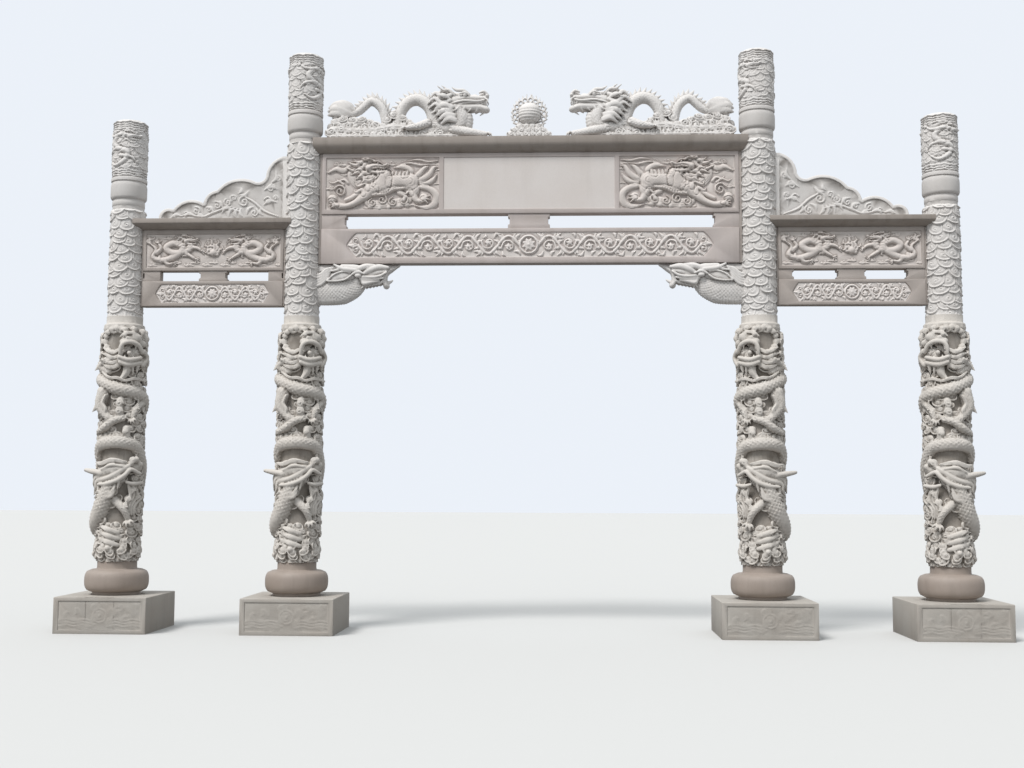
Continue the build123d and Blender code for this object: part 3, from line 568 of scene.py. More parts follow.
class Relief:
    """Heights over a face, u to the right and v up, in metres. A wrapped one closes on itself."""

    def __init__(self, width, height, step, wrapped=False):
        self.width, self.height, self.wrapped = width, height, wrapped
        across, up = round(width / step), round(height / step)
        self.u = np.linspace(0, width, across + 1)
        if wrapped:
            self.u = self.u[:-1]
        self.v = np.linspace(0, height, up + 1)
        self.h = np.zeros((len(self.v), len(self.u)))
        self.shifts = (-width, 0, width) if wrapped else (0,)

    def windows(self, low, high):
        """The parts of the grid in a box, each with its point coordinates."""
        for shift in self.shifts:
            left, right = np.searchsorted(self.u, (low[0] + shift, high[0] + shift))
            foot, top = np.searchsorted(self.v, (low[1], high[1]))
            if right > left and top > foot:
                part = (slice(foot, top), slice(left, right))
                u, v = np.meshgrid(self.u[left:right] - shift, self.v[foot:top])
                yield part, u, v

    def stroke(self, points, width, lift, groove=0, texture=None, samples=20, round_power=2.0):
        """Lays a rounded stroke over the stone, with a groove cut along its sides."""
        line = smooth_line(points, samples)
        widths, lifts = spread(width, samples), spread(lift, samples)
        steps = np.diff(line, axis=0)
        lengths = np.maximum(np.hypot(steps[:, 0], steps[:, 1]), 1e-9)
        start = np.concatenate([[0], np.cumsum(lengths)[:-1]])
        margin = widths.max() * 1.6 + .004
        for part, u, v in self.windows(line.min(0) - margin, line.max(0) + margin):
            du = u[..., None] - line[:-1, 0]
            dv = v[..., None] - line[:-1, 1]
            t = np.clip((du * steps[:, 0] + dv * steps[:, 1]) / lengths**2, 0, 1)
            off = np.hypot(du - t * steps[:, 0], dv - t * steps[:, 1])
            wide = widths[:-1] + (widths[1:] - widths[:-1]) * t
            ratio = off / np.maximum(wide, 1e-5)
            best = ratio.argmin(-1)[..., None]
            pick = lambda array: np.take_along_axis(array, best, -1)[..., 0]
            ratio, wide, t = pick(ratio), pick(wide), pick(t)
            k = best[..., 0]
            turn = np.sign(steps[k, 0] * pick(dv) - steps[k, 1] * pick(du))
            rise = lifts[k] + (lifts[k + 1] - lifts[k]) * t
            inside = ratio < 1
            body = np.clip(1 - ratio**round_power, 0, 1) ** (1 / round_power)
            top = rise * body
            if texture is not None:
                pattern = texture(start[k] + t * lengths[k], turn * ratio * wide, wide)
                top = top + pattern * np.minimum(1, 3 * (1 - ratio))
            h = self.h[part]
            if groove:
                ring = np.clip(1 - (ratio - 1) * wide / (1.6 * groove + .003), 0, 1) * (ratio >= 1)
                h = np.where(ratio >= 1, np.minimum(h, h - groove * ring), h)
            self.h[part] = np.where(inside, np.maximum(h, top), h)

    def ball(self, centre, radius, lift):
        """A rounded boss."""
        for part, u, v in self.windows(np.array(centre) - radius, np.array(centre) + radius):
            far = np.hypot(u - centre[0], v - centre[1]) / radius
            self.h[part] = np.maximum(self.h[part], lift * np.sqrt(np.clip(1 - far**2, 0, 1)) - (far > 1))

    def cloud(self, centre, wide, drop, thick, flip=1, lean=0):
        """A cloud scale: a bowl whose lower rim stands proud, with a ring and a curl inside."""
        reach = np.array((.56 * wide, 1.9 * drop))
        for part, u, v in self.windows(np.array(centre) - reach, np.array(centre) + reach):
            x = flip * (u - centre[0]) / (.5 * wide)
            y = (v - centre[1]) / drop - lean * x
            edge = np.hypot(x, np.where(y < 0, y, .55 * y))
            below = np.clip(.75 - .5 * y, 0, 1)
            top = thick * (.12 + .88 * np.clip(.62 - .42 * y, 0, 1)) * np.clip((1 - edge) / .1, 0, 1) ** .5
            top += .2 * thick * below * np.exp(-(((edge - .86) / .09) ** 2))
            top -= .34 * thick * below * np.exp(-(((edge - .66) / .1) ** 2))
            far, angle = np.hypot(x, 1.1 * (y + .06)), np.arctan2(y + .06, x)
            top += .3 * thick * np.cos(2 * pi * far / .36 - angle) * np.clip(1.2 - far / .46, 0, 1)
            self.h[part] = np.where(edge < 1, top, self.h[part])

    def sampled(self, u, v):
        """Heights at any points of the face."""
        x = np.clip(np.asarray(u) / self.width * (len(self.u) - 1), 0, len(self.u) - 1.001)
        y = np.clip(np.asarray(v) / self.height * (len(self.v) - 1), 0, len(self.v) - 1.001)
        i, j = x.astype(int), y.astype(int)
        a, b = x - i, y - j
        low = self.h[j, i] * (1 - a) + self.h[j, i + 1] * a
        high = self.h[j + 1, i] * (1 - a) + self.h[j + 1, i + 1] * a
        return low * (1 - b) + high * b

    def soften(self, passes=1):
        """Rounds the sharpest steps, as a mallet and years of rain do."""
        for _ in range(passes):
            for axis in (0, 1):
                border = "wrap" if axis == 1 and self.wrapped else "edge"
                padded = np.pad(self.h, [(1, 1) if k == axis else (0, 0) for k in (0, 1)], border)
                before, after = (np.take(padded, range(k, k + self.h.shape[axis]), axis) for k in (0, 2))
                self.h = .6 * self.h + .4 * ((before + after) / 2)


def grid_faces(rows, count, closed=False):
    """Quads of a grid of points, kept row by row. A closed one joins its last column to its first."""
    faces = []
    for row in range(rows - 1):
        a = row * count
        for k in range(count if closed else count - 1):
            right = (k + 1) % count
            faces.append((a + k, a + right, a + count + right, a + count + k))
    return faces


def grid_border(rows, count):
    """The points round a grid, first along its first row."""
    border = list(range(count)) + [r * count + count - 1 for r in range(1, rows)]
    border += [(rows - 1) * count + c for c in range(count - 2, -1, -1)]
    return border + [r * count for r in range(rows - 2, 0, -1)]


def skin_faces(rows, count):
    """Faces of a closed skin over rings of points. Its two end points come after the rings."""
    faces = grid_faces(rows, count, closed=True)
    foot, top, last = rows * count, rows * count + 1, (rows - 1) * count
    faces += [(foot, (k + 1) % count, k) for k in range(count)]
    return faces + [(top, last + k, last + (k + 1) % count) for k in range(count)]


def round_stone(name, axis, heights, radii):
    """A closed round stone from a grid of radii: one row of radii for each height."""
    rows, count = radii.shape
    angle = np.arange(count) * 2 * pi / count
    x, y = axis[0] + radii * np.cos(angle), axis[1] + radii * np.sin(angle)
    points = np.stack([x, y, np.repeat(heights[:, None], count, 1)], -1).reshape(-1, 3)
    ends = [(axis[0], axis[1], height) for height in (heights[0], heights[-1])]
    return mesh_piece(name, np.vstack([points, ends]), skin_faces(rows, count))


print("relief tools are ready")

# %% [markdown]
# The upper shafts are covered with rows of rolling clouds, each with a curl in its middle
# and its lower edge standing proud over the next. They are laid from the foot upwards, so
# every cloud covers the tops of the two below it, like tiles laid upside down.

# %% Cloud shafts
relief_step = .0058
cloud_rows_apart = .112
clouds_round = 8
cloud_ground = .022  # how far the ground between clouds lies under the shaft's full girth
shoulder = .02  # how far a shaft or a cap draws in at its top edge
cloud_shaft_triangles = {"inner": 45_000, "outer": 28_000}
cloud_seeds = (3, 5, 8, 12)  # one for each column, so that no two shafts are alike


def cloud_cover(radius, height, seed):
    """The relief of a shaft: rows of clouds of uneven size."""
    chance = np.random.default_rng(seed)
    relief = Relief(2 * pi * radius, height, relief_step, wrapped=True)
    spacing = relief.width / clouds_round
    for row in range(int(height / cloud_rows_apart) + 2):
        offset = (row % 2) * .5 + chance.uniform(-.15, .15)
        for number in chance.permutation(clouds_round):
            u = (number + offset + chance.uniform(-.14, .14)) * spacing % relief.width
            v = (row + .1 + chance.uniform(-.2, .2)) * cloud_rows_apart
            wide, drop = spacing * chance.uniform(1.15, 1.45), chance.uniform(.078, .1)
            thick, flip = chance.uniform(.026, .033), either(chance)
            relief.cloud((u, v), wide, drop, thick, flip, chance.uniform(-.25, .25))
    relief.soften()
    return relief


def drawn_in(relief):
    """How far each row of a round relief draws in at the top edge."""
    return shoulder * np.clip(1 - (relief.height - relief.v) / .03, 0, 1)[:, None] ** 2


for number, column in enumerate(columns):
    low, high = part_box(f"{column}_cloud_shaft")
    radius = (high.x - low.x) / 2
    relief = cloud_cover(radius, high.z - low.z, cloud_seeds[number])
    radii = radius - cloud_ground + relief.h - drawn_in(relief)
    piece = round_stone(f"{column}_cloud_carving", (low + high) / 2, low.z + relief.v, radii)
    thin(piece, cloud_shaft_triangles[column.split("_")[1]])
    finish_piece(piece, "carved_granite", [f"{column}_cloud_shaft"], full_depth=.03)
    print(piece.name, triangles(piece))

# %% [markdown]
# The caps are turned like drums, with a neck, a smooth bulge and a ring, and their tall
# cylinder is carved. One grid of radii holds both: plain rows from the profile, then the
# rows of the relief. Bands of waves close the carving at its foot and top, and a small
# dragon flies among clouds between them.

# %% Motifs shared by several stones


def local(points, at, size, flip=1):
    """Points of a motif drawn round its own origin, set down at a place and size."""
    return [(at[0] + flip * size * x, at[1] + size * y) for x, y in points]


def curl(relief, at, size, start, turns, lift, flip=1, width=.16):
    """A stem that winds into a spiral and ends in a small ball."""
    points = local(spiral((0, 0), 1, start, turns), at, size, flip)
    relief.stroke(points, [width * size, .7 * width * size], lift, .3 * lift, samples=26)
    relief.ball(points[-1], 1.3 * width * size, 1.1 * lift)


def leaf(relief, root, tip, width, lift, bow=.25):
    """A pointed leaf with one vein, bowed to one side."""
    (a, b), (c, d) = root, tip
    middle = ((a + c) / 2 - bow * (d - b), (b + d) / 2 + bow * (c - a))
    relief.stroke([root, middle, tip], [.25 * width, width, .15 * width], lift, .25 * lift, vein(.3 * lift),
        samples=9)


def flame(relief, root, tip, width, lift, bend=.3):
    """A lick of flame or a lock of hair that swings one way and back."""
    (a, b), (c, d) = root, tip
    near = (a + (c - a) * .35 - bend * (d - b), b + (d - b) * .35 + bend * (c - a))
    far = (a + (c - a) * .72 + .5 * bend * (d - b), b + (d - b) * .72 - .5 * bend * (c - a))
    relief.stroke([root, near, far, tip], [width, .9 * width, .5 * width, .1 * width], lift, .3 * lift,
        flutes(3, .25 * lift), samples=14)


def small_cloud(relief, at, size, lift, flip=1):
    """A drifting cloud: two curls on a trailing band."""
    relief.stroke(local([(-1.6, -.5), (-.8, -.28), (0, -.42), (.8, -.3)], at, size, flip),
        [.05 * size, .2 * size, .24 * size, .1 * size], .7 * lift, .2 * lift)
    curl(relief, local([(-.25, 0)], at, size, flip)[0], .42 * size, 200, 1.2, lift, flip)
    curl(relief, local([(.5, -.02)], at, size, flip)[0], .36 * size, 330, -1.2, lift, flip)


def claw(relief, at, size, heading, lift):
    """A dragon's foot: four hooked toes spread round a heading in degrees."""
    for spread_angle in (-58, -18, 22, 62):
        angle = radians(heading + spread_angle)
        knuckle = (at[0] + .55 * size * cos(angle), at[1] + .55 * size * sin(angle))
        hook = radians(heading + spread_angle * .55 - 25)
        tip = (knuckle[0] + .5 * size * cos(hook), knuckle[1] + .5 * size * sin(hook))
        relief.stroke([at, knuckle, tip], [.17 * size, .16 * size, .03 * size], lift, .3 * lift, samples=8)
    relief.ball(at, .26 * size, 1.1 * lift)


def dragon_head(relief, at, size, lift, flip=1):
    """A dragon's head from the side, looking to the right, or to the left when flipped."""

    def part(points, width, share, texture=None, samples=16):
        widths = [w * size for w in width]
        relief.stroke(local(points, at, size, flip), widths, share * lift, .2 * lift, texture,
            samples=samples)

    for height, reach, swing in ((.45, 1.25, .16), (.28, 1.4, -.1), (.08, 1.35, .14), (-.12, 1.15, -.12),
            (-.3, .95, .1)):
        lock = [(-.2, height * .6), (-.55, height + swing), (-.9, height - swing), (-reach, height * 1.3)]
        part(lock, (.13, .11, .07, .01), .55, flutes(3, .12 * lift))
    part([(-.1, -.2), (-.2, -.42), (-.42, -.55)], (.07, .05, .01), .5, flutes(2, .1 * lift))
    part([(.15, -.24), (.1, -.42), (-.08, -.58)], (.06, .04, .01), .5)
    part([(-.28, -.12), (.08, -.22), (.44, -.17)], (.12, .09, .06), .75)
    part([(0, -.04), (.25, -.06), (.5, -.02)], (.03, .035, .01), .5)
    part([(-.38, .03), (0, .14), (.35, .11), (.56, .15)], (.19, .16, .1, .1), 1)
    part([(-.2, -.02), (.1, .03), (.4, 0), (.56, .06)], (.02, .035, .03, .02), 1.05)
    relief.ball(local([(.6, .2)], at, size, flip)[0], .1 * size, 1.15 * lift)
    part([(.32, .26), (.12, .37), (-.12, .36)], (.03, .065, .02), 1.15)
    relief.ball(local([(.12, .25)], at, size, flip)[0], .07 * size, 1.25 * lift)
    part([(-.02, .36), (-.3, .5), (-.6, .46), (-.8, .58)], (.065, .05, .035, .01), 1)
    part([(.52, .06), (.75, -.04), (.84, -.22), (.72, -.4)], (.025, .022, .018, .01), .6)
    for place in (.18, .3, .42):
        part([(place, -.02), (place + .015, -.1)], (.025, .008), .9, samples=4)


# %% Caps
cap_step = .006
cap_relief_foot = .435  # height of the neck, bulge and ring below the carved cylinder
cap_profile = (  # (height, radius) in metres
    (0, .2), (.003, .205), (.045, .205), (.052, .211), (.112, .211), (.12, .205), (.136, .205),
    (.141, .216), (.156, .229), (.178, .235), (.31, .235), (.342, .232), (.366, .222), (.374, .217),
    (.378, .226), (.384, .233), (.42, .234), (.43, .228), (.434, .218),
)
cap_carving_radius = .214
cap_triangles = 20_000
cap_turn = 40  # columns of the grid that each cap is turned on from the one before it
bulge_darkening = .2  # recess value given to the smooth foot of a cap, which paints it darker than its carving


def waves(relief, foot, rows, lift, count=11, rise=.03):
    """Wavy ribbons that nest over one another round a wrapped stone."""
    for row in range(rows):
        shift = .35 * row
        line = []
        for k in range(4 * count + 1):
            swing = (0, 1, .15, -1)[k % 4]
            line.append((k * relief.width / (4 * count),
                foot + row * rise + .011 * swing * cos(.6 * k + shift)))
        relief.stroke(line, [.012, .015, .011, .015, .012], lift, .012, samples=14 * count, round_power=1.6)


def cap_carving():
    """Clouds and a dragon between two bands of waves."""
    chance = np.random.default_rng(21)
    relief = Relief(2 * pi * cap_carving_radius, .772, cap_step, wrapped=True)
    for row in range(9):
        for number in chance.permutation(10):
            at = ((number + .5 * (row % 2) + chance.uniform(-.2, .2)) * relief.width / 10 % relief.width,
                .1 + .07 * row + chance.uniform(-.015, .015))
            relief.cloud(at, chance.uniform(.14, .18), chance.uniform(.055, .07), chance.uniform(.018, .024),
                either(chance), chance.uniform(-.3, .3))
    for foot, rows in ((.02, 3), (.65, 4)):
        waves(relief, foot, rows, .018)
    for start in (.12, .12 + relief.width / 2):
        body = [(0, .2), (.1, .15), (.22, .22), (.25, .33), (.12, .38), (.05, .47), (.14, .56), (.28, .55)]
        body = [(start + u, v) for u, v in body]
        relief.stroke(body, [.008, .024, .032, .036, .036, .036, .032, .026], .03, .014,
            scale_net(.03, .006), samples=44)
        for knee, foot_at, heading in (((.3, .26), (.36, .2), -40), ((.02, .36), (-.05, .3), 200),
                ((.02, .55), (-.06, .6), 150)):
            leg = [(start + .16, knee[1] + .02), (start + knee[0], knee[1]),
                (start + foot_at[0], foot_at[1])]
            relief.stroke(leg, [.026, .019, .013], .027, .012, samples=10)
            claw(relief, leg[-1], .055, heading, .024)
        dragon_head(relief, (start + .33, .53), .16, .034)
    relief.soften()
    return relief


cap_relief = cap_carving()
plain_radii = np.repeat(np.array([radius for _, radius in cap_profile])[:, None], len(cap_relief.u), 1)
heights = np.array([height for height, _ in cap_profile] + list(cap_relief_foot + cap_relief.v))
for number, column in enumerate(columns):
    low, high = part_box(f"{column}_cap")
    carved = cap_carving_radius + np.roll(cap_relief.h, cap_turn * number, axis=1) - drawn_in(cap_relief)
    radii = np.vstack([plain_radii, carved])
    piece = round_stone(f"{column}_cap_carving", (low + high) / 2, low.z + heights, radii)
    thin(piece, cap_triangles)
    finish_piece(piece, "carved_granite", [f"{column}_cap"], full_depth=.015)
    # The smooth foot of each cap gets a fixed recess value, which paints it darker.
    for vertex, recess in zip(piece.data.vertices, piece.data.attributes["recess"].data):
        if vertex.co.z < low.z + cap_relief_foot:
            recess.value = bulge_darkening
print("caps:", len(columns), "of", triangles(piece), "triangles")

# %% [markdown]
# The beams carry sunk fields with the carving in them. Each carving is a slab as large as
# its field: a grid of heights for its face, a short skirt round it and a flat back that is
# let into the beam. A pointed field needs no pointed slab, because the slab's corners
# simply sink into the stone. The back of the gateway repeats the front.

# %% Carved slabs in sunk fields
proud = .001  # the ground of a carving stands this far over the floor of its field
slab_let_in = .008


def slab(name, relief, left, foot, ground, wanted, finish="panel_granite", full_depth=.011):
    """A carved slab in the front of a beam and its turned copy in the back, as one piece."""
    rows, count = relief.h.shape
    u, v = np.meshgrid(relief.u, relief.v)
    face = np.stack([left + u, -(ground + relief.h), foot + v], -1).reshape(-1, 3)
    border = grid_border(rows, count)
    behind = face[border].copy()
    behind[:, 1] = -(ground - slab_let_in)
    first = len(face)
    faces = grid_faces(rows, count)
    for k, corner in enumerate(border):
        following = (k + 1) % len(border)
        faces.append((border[following], corner, first + k, first + following))
    faces.append(tuple(first + k for k in reversed(range(len(border)))))
    piece = mesh_piece(name, np.vstack([face, behind]), faces)
    thin(piece, wanted)
    centre = left + relief.width / 2

    def turned(points):
        points[:, 0] = 2 * centre - points[:, 0]
        points[:, 1] *= -1
        return points, False

    back = copy_piece(piece, f"{name}_back", turned)
    focus(piece)
    back.select_set(True)
    bpy.ops.object.join()
    return finish_piece(piece, finish, full_depth=full_depth)


def limit_to_ogee(relief, point, depth=.02):
    """Sinks what lies outside a field whose two ends run out to a point."""
    u, v = np.meshgrid(relief.u, relief.v)
    from_end = np.minimum(u, relief.width - u)
    slope = np.abs(2 * v / relief.height - 1) * point
    relief.h = np.where(from_end < slope + .004, -depth, relief.h)


# %% [markdown]
# Both lower beams carry a running scroll: one stem that rises and falls along the whole
# beam, with a curl in every loop and leaves in every corner, and a round flower in the
# middle. Half of it is drawn by a loop and mirrored by drawing every stroke twice.

# %% Running scrolls on the lower beams


def running_scroll(width, height, step, loops, lift):
    """A stem with curls and leaves, mirrored about a round flower in the middle."""
    relief = Relief(width, height, step)
    half = height / 2
    flower = .7 * half
    start = 1.15 * flower
    loop = (width / 2 - .95 * half - start) / loops
    for flip in (-1, 1):

        def at(along, up):
            return (width / 2 + flip * along, half + up * half)

        for k in range(2 * loops):
            side = -1 if k % 2 else 1
            middle = start + (k + .5) * loop / 2
            for root_along, root_up, tip_along, tip_up in (
                (-.22, .05, -.3, .9), (-.2, .1, -.17, .88), (.22, .05, .3, .9), (.2, .1, .17, .88),
                (-.24, -.1, -.36, .35), (.24, -.1, .36, .35),
            ):
                root = at(middle + root_along * loop, side * root_up)
                tip = at(middle + tip_along * loop, side * tip_up)
                leaf(relief, root, tip, .15 * half, .9 * lift, .3 if tip_along * side * flip > 0 else -.3)
            centre = at(middle, -.14 * side)
            curl(relief, centre, .56 * half, -10 if side > 0 else 10, 1.25 * side, lift, flip, .15)
            for tip_angle in (20, 95, 170, 245, 320):
                angle = radians(tip_angle)
                tip = (centre[0] + .3 * half * cos(angle), centre[1] + .3 * half * sin(angle))
                leaf(relief, centre, tip, .1 * half, lift, 0)
            relief.ball(centre, .11 * half, 1.3 * lift)
            leaf(relief, at(middle - .14 * loop, -.55 * side), at(middle - .3 * loop, -.86 * side),
                .13 * half, .9 * lift, .3)
            leaf(relief, at(middle + .14 * loop, -.55 * side), at(middle + .06 * loop, -.9 * side),
                .12 * half, .9 * lift, -.3)
        stem = [at(start + k * loop / 12, .7 * sin(k * pi / 6)) for k in range(12 * loops + 1)]
        relief.stroke(stem, .1 * half, 1.05 * lift, .5 * lift, vein(.35 * lift), samples=24 * loops)
        tail = start + loops * loop
        leaf(relief, at(tail, 0), at(tail + .8 * half, 0), .2 * half, lift, .05)
        curl(relief, at(tail + .16 * half, .36), .3 * half, 250, 1.1, lift, flip)
        curl(relief, at(tail + .16 * half, -.36), .3 * half, 110, -1.1, lift, flip)
    middle = (width / 2, half)
    ring = [(middle[0] + flower * cos(a), middle[1] + flower * sin(a)) for a in np.linspace(0, 2 * pi, 17)]
    relief.stroke(ring, .1 * half, lift, .4 * lift, samples=48)
    for petal in range(8):
        angle = petal * pi / 4 + pi / 8
        tip = (middle[0] + .8 * flower * cos(angle), middle[1] + .8 * flower * sin(angle))
        leaf(relief, middle, tip, .24 * flower, .95 * lift, 0)
    relief.ball(middle, .24 * flower, 1.3 * lift)
    relief.soften()
    return relief


scroll_sinking = .014
for name, side_border, foot_border, top_border, point, step, loops, lift, wanted in (
    ("central", .335, .08, .055, .13, .0062, 4, .024, 15_500),
    ("left_side", .178, .044, .042, .078, .0056, 2, .018, 6_500),
    ("right_side", .178, .044, .042, .078, .0056, 2, .018, 6_500),
):
    low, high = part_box(f"{name}_lower_beam")
    height = high.z - low.z - foot_border - top_border
    scroll = running_scroll(high.x - low.x - 2 * side_border, height, step, loops, lift)
    limit_to_ogee(scroll, point)
    corner = (low.x + side_border, low.z + foot_border)
    piece = slab(f"{name}_scroll", scroll, *corner, high.y - scroll_sinking + proud, wanted,
        "plaque_granite")
    print(piece.name, triangles(piece))

# %% [markdown]
# On the big beam two scaled beasts leap away from the plaque and look back at it. Body,
# legs and head are thick strokes with a net of scales, the mane and tail are fluted locks,
# and curls of cloud fill the ground. The second panel is the mirror image of the first.

# %% Beast panels


def beast_panel(width, height):
    """A beast leaping to the right with its head turned back."""
    relief = Relief(width, height, .0058)
    wide, high = width / 1.49, height / .7

    def at(*points):
        return [(u * wide, v * high) for u, v in points]

    def part(points, widths, lift, texture=None, samples=22, groove=.012):
        relief.stroke(at(*points), widths, lift, groove, texture, samples=samples)

    def cloud_at(place, size, lift, flip=1):
        small_cloud(relief, at(place)[0], size, lift, flip)

    for place, size, flip in (
        ((.14, .63), .07, 1), ((.3, .62), .07, -1), ((.46, .64), .06, 1), ((.62, .63), .07, -1),
        ((.62, .5), .07, 1), ((1, .63), .07, 1), ((1.16, .62), .08, -1), ((1.32, .63), .08, 1),
        ((1.42, .53), .07, -1), ((1.24, .5), .07, 1), ((1.1, .46), .07, -1), ((1.02, .36), .06, 1),
        ((.44, .45), .06, -1), ((.06, .55), .06, 1), ((.4, .08), .07, 1), ((1.42, .3), .06, -1),
        ((1.1, .06), .06, -1), ((.95, .04), .05, 1), ((.06, .36), .05, 1),
    ):
        cloud_at(place, size, .02, flip)
    for row, shift in ((.655, .02), (.61, .12)):
        part([(shift, row), (.12 + shift, row - .015), (.26 + shift, row + .015), (.4 + shift, row - .005)],
            [.006, .016, .016, .006], .024)
    part([(.98, .3), (1.08, .36), (1.15, .45), (1.17, .58)], [.06, .07, .055, .03], .028, flutes(6, .009))
    part([(1.16, .6), (1.26, .53), (1.36, .55), (1.46, .5)], [.02, .04, .034, .01], .028, flutes(5, .008))
    for root, tip in (((1.2, .36), (1.36, .42)), ((1.26, .34), (1.45, .385))):
        flame(relief, at(root)[0], at(tip)[0], .02, .024, .15)
    part([(.36, .15), (.5, .09), (.64, .075), (.8, .06), (.92, .09), (.99, .14)],
        [.045, .07, .065, .07, .055, .02], .026, flutes(5, .006))
    for place, size, start, flip in (((.46, .12), .07, 80, 1), ((.6, .1), .065, 100, -1),
            ((.745, .13), .075, 70, 1), ((.87, .09), .06, 100, -1)):
        curl(relief, at(place)[0], size, start, 1.35, .036, flip, .17)
    for place in ((.42, .06), (.52, .045), (.66, .03), (.78, .02), (.9, .04)):
        relief.ball(at(place)[0], .036, .03)
    for lock, widths in (
        (((.33, .38), (.2, .34), (.09, .39), (.03, .47)), (.035, .045, .035, .004)),
        (((.33, .4), (.22, .41), (.13, .47), (.07, .56), (.02, .57)), (.035, .045, .04, .026, .004)),
        (((.34, .42), (.27, .47), (.2, .55), (.14, .58)), (.035, .04, .03, .004)),
        (((.38, .44), (.38, .52), (.47, .575), (.6, .56)), (.035, .045, .04, .004)),
        (((.3, .3), (.14, .28), (.04, .19), (.06, .07), (.17, .02), (.32, .05)),
        (.025, .04, .05, .05, .04, .004)),
    ):
        part(lock, widths, .034, flutes(6, .01))
    part([(.95, .3), (1.04, .24), (1.13, .17), (1.22, .13)], [.06, .045, .034, .03], .034,
        scale_net(.03, .006))
    curl(relief, at((1.3, .25))[0], .085, 20, 1.5, .034)
    relief.ball(at((1.4, .14))[0], .062, .055)
    part([(1.34, .14), (1.4, .16), (1.46, .14)], [.004, .009, .004], .062)
    part([(.48, .34), (.52, .24), (.44, .18), (.47, .12)], [.075, .045, .03, .026], .034,
        scale_net(.03, .006))
    part([(.41, .35), (.34, .27), (.33, .19), (.28, .11), (.2, .12)], [.115, .09, .05, .04, .035], .05,
        scale_net(.034, .008))
    relief.ball(at((.2, .15))[0], .06, .044)
    for toe in (150, 190, 230):
        tip = at((.2 + .09 * cos(radians(toe)), .14 + .08 * sin(radians(toe))))[0]
        relief.stroke([at((.21, .14))[0], tip], [.026, .008], .044, .008, samples=5)
    part([(.38, .37), (.52, .38), (.66, .34), (.8, .3), (.9, .27)], [.115, .105, .12, .115, .095], .06,
        scale_net(.038, .011), 34)
    part([(.46, .28), (.6, .265), (.72, .215), (.86, .19)], [.02, .032, .034, .02], .052, ribs(.034, .012))
    part([(.88, .27), (.98, .18), (1.1, .09), (1.22, .045), (1.34, .055)], [.095, .064, .044, .04, .046],
        .052, scale_net(.032, .008))
    for toe in (-28, 0, 28, 56):
        tip = at((1.35 + .085 * cos(radians(toe)), .06 + .065 * sin(radians(toe))))[0]
        relief.stroke([at((1.33, .055))[0], tip], [.024, .007], .046, .008, samples=5)
    for root, tip in (((.86, .33), (1, .42)), ((.93, .27), (1.1, .36)), ((.99, .2), (1.12, .27)),
            ((.83, .36), (.93, .46)), ((.46, .44), (.42, .52)), ((.36, .2), (.46, .23))):
        flame(relief, at(root)[0], at(tip)[0], .03, .04)
    for spine in np.linspace(.44, .68, 6):
        leaf(relief, at((spine, .455))[0], at((spine - .03, .52))[0], .022, .044, .1)
    part([(.74, .34), (.73, .44), (.8, .54)], [.12, .105, .085], .062, scale_net(.036, .008))
    part([(.66, .32), (.655, .42), (.7, .5)], [.03, .038, .03], .06, ribs(.03, .012))
    for lock in (
        ((.9, .6), (1, .645), (1.1, .6), (1.2, .64)), ((.92, .56), (1.02, .56), (1.1, .52), (1.22, .56)),
        ((.9, .51), (1, .49), (1.06, .51), (1.16, .46)), ((.88, .47), (.96, .43), (1.02, .45), (1.1, .4)),
        ((.86, .43), (.92, .39), (.97, .4), (1.02, .35)),
    ):
        part(lock, [.045, .042, .034, .004], .046, flutes(5, .012))
    dragon_head(relief, at((.83, .55))[0], .25, .07, -1)
    relief.soften()
    return relief


plaque_half_width, plaque_divider = 1.128, .06
beast_side, beast_top, beast_bottom, beast_sinking = .05, .055, .062, .02
beast_triangles = 20_500
low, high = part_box("central_plaque_beam")
beast_left = plaque_half_width + plaque_divider
beast = beast_panel(high.x - beast_side - beast_left, high.z - low.z - beast_top - beast_bottom)
ground = high.y - beast_sinking + proud
for side, left in (("right", beast_left), ("left", -beast_left - beast.width)):
    piece = slab(f"{side}_beast_panel", beast, left, low.z + beast_bottom, ground, beast_triangles,
        full_depth=.0105)
    beast.h = beast.h[:, ::-1]
print(piece.name, triangles(piece))

# %% [markdown]
# The middle of the big beam is a long plaque. Its sunk face was rubbed smooth, so it's
# the palest stone of all. It stays bare here: a thin slab in a finish of its own.

# %% Plaque
plaque_sinking, plaque_grid = .012, .05
plaque = Relief(2 * plaque_half_width, beast.height, plaque_grid)
slab("plaque_face", plaque, -plaque_half_width, low.z + beast_bottom, high.y - plaque_sinking + proud, 4_000,
    "plaque_granite", full_depth=0)
print("plaque", round(plaque.width, 3), "by", round(plaque.height, 3), "m")

# %% Dragon panels of the side bays


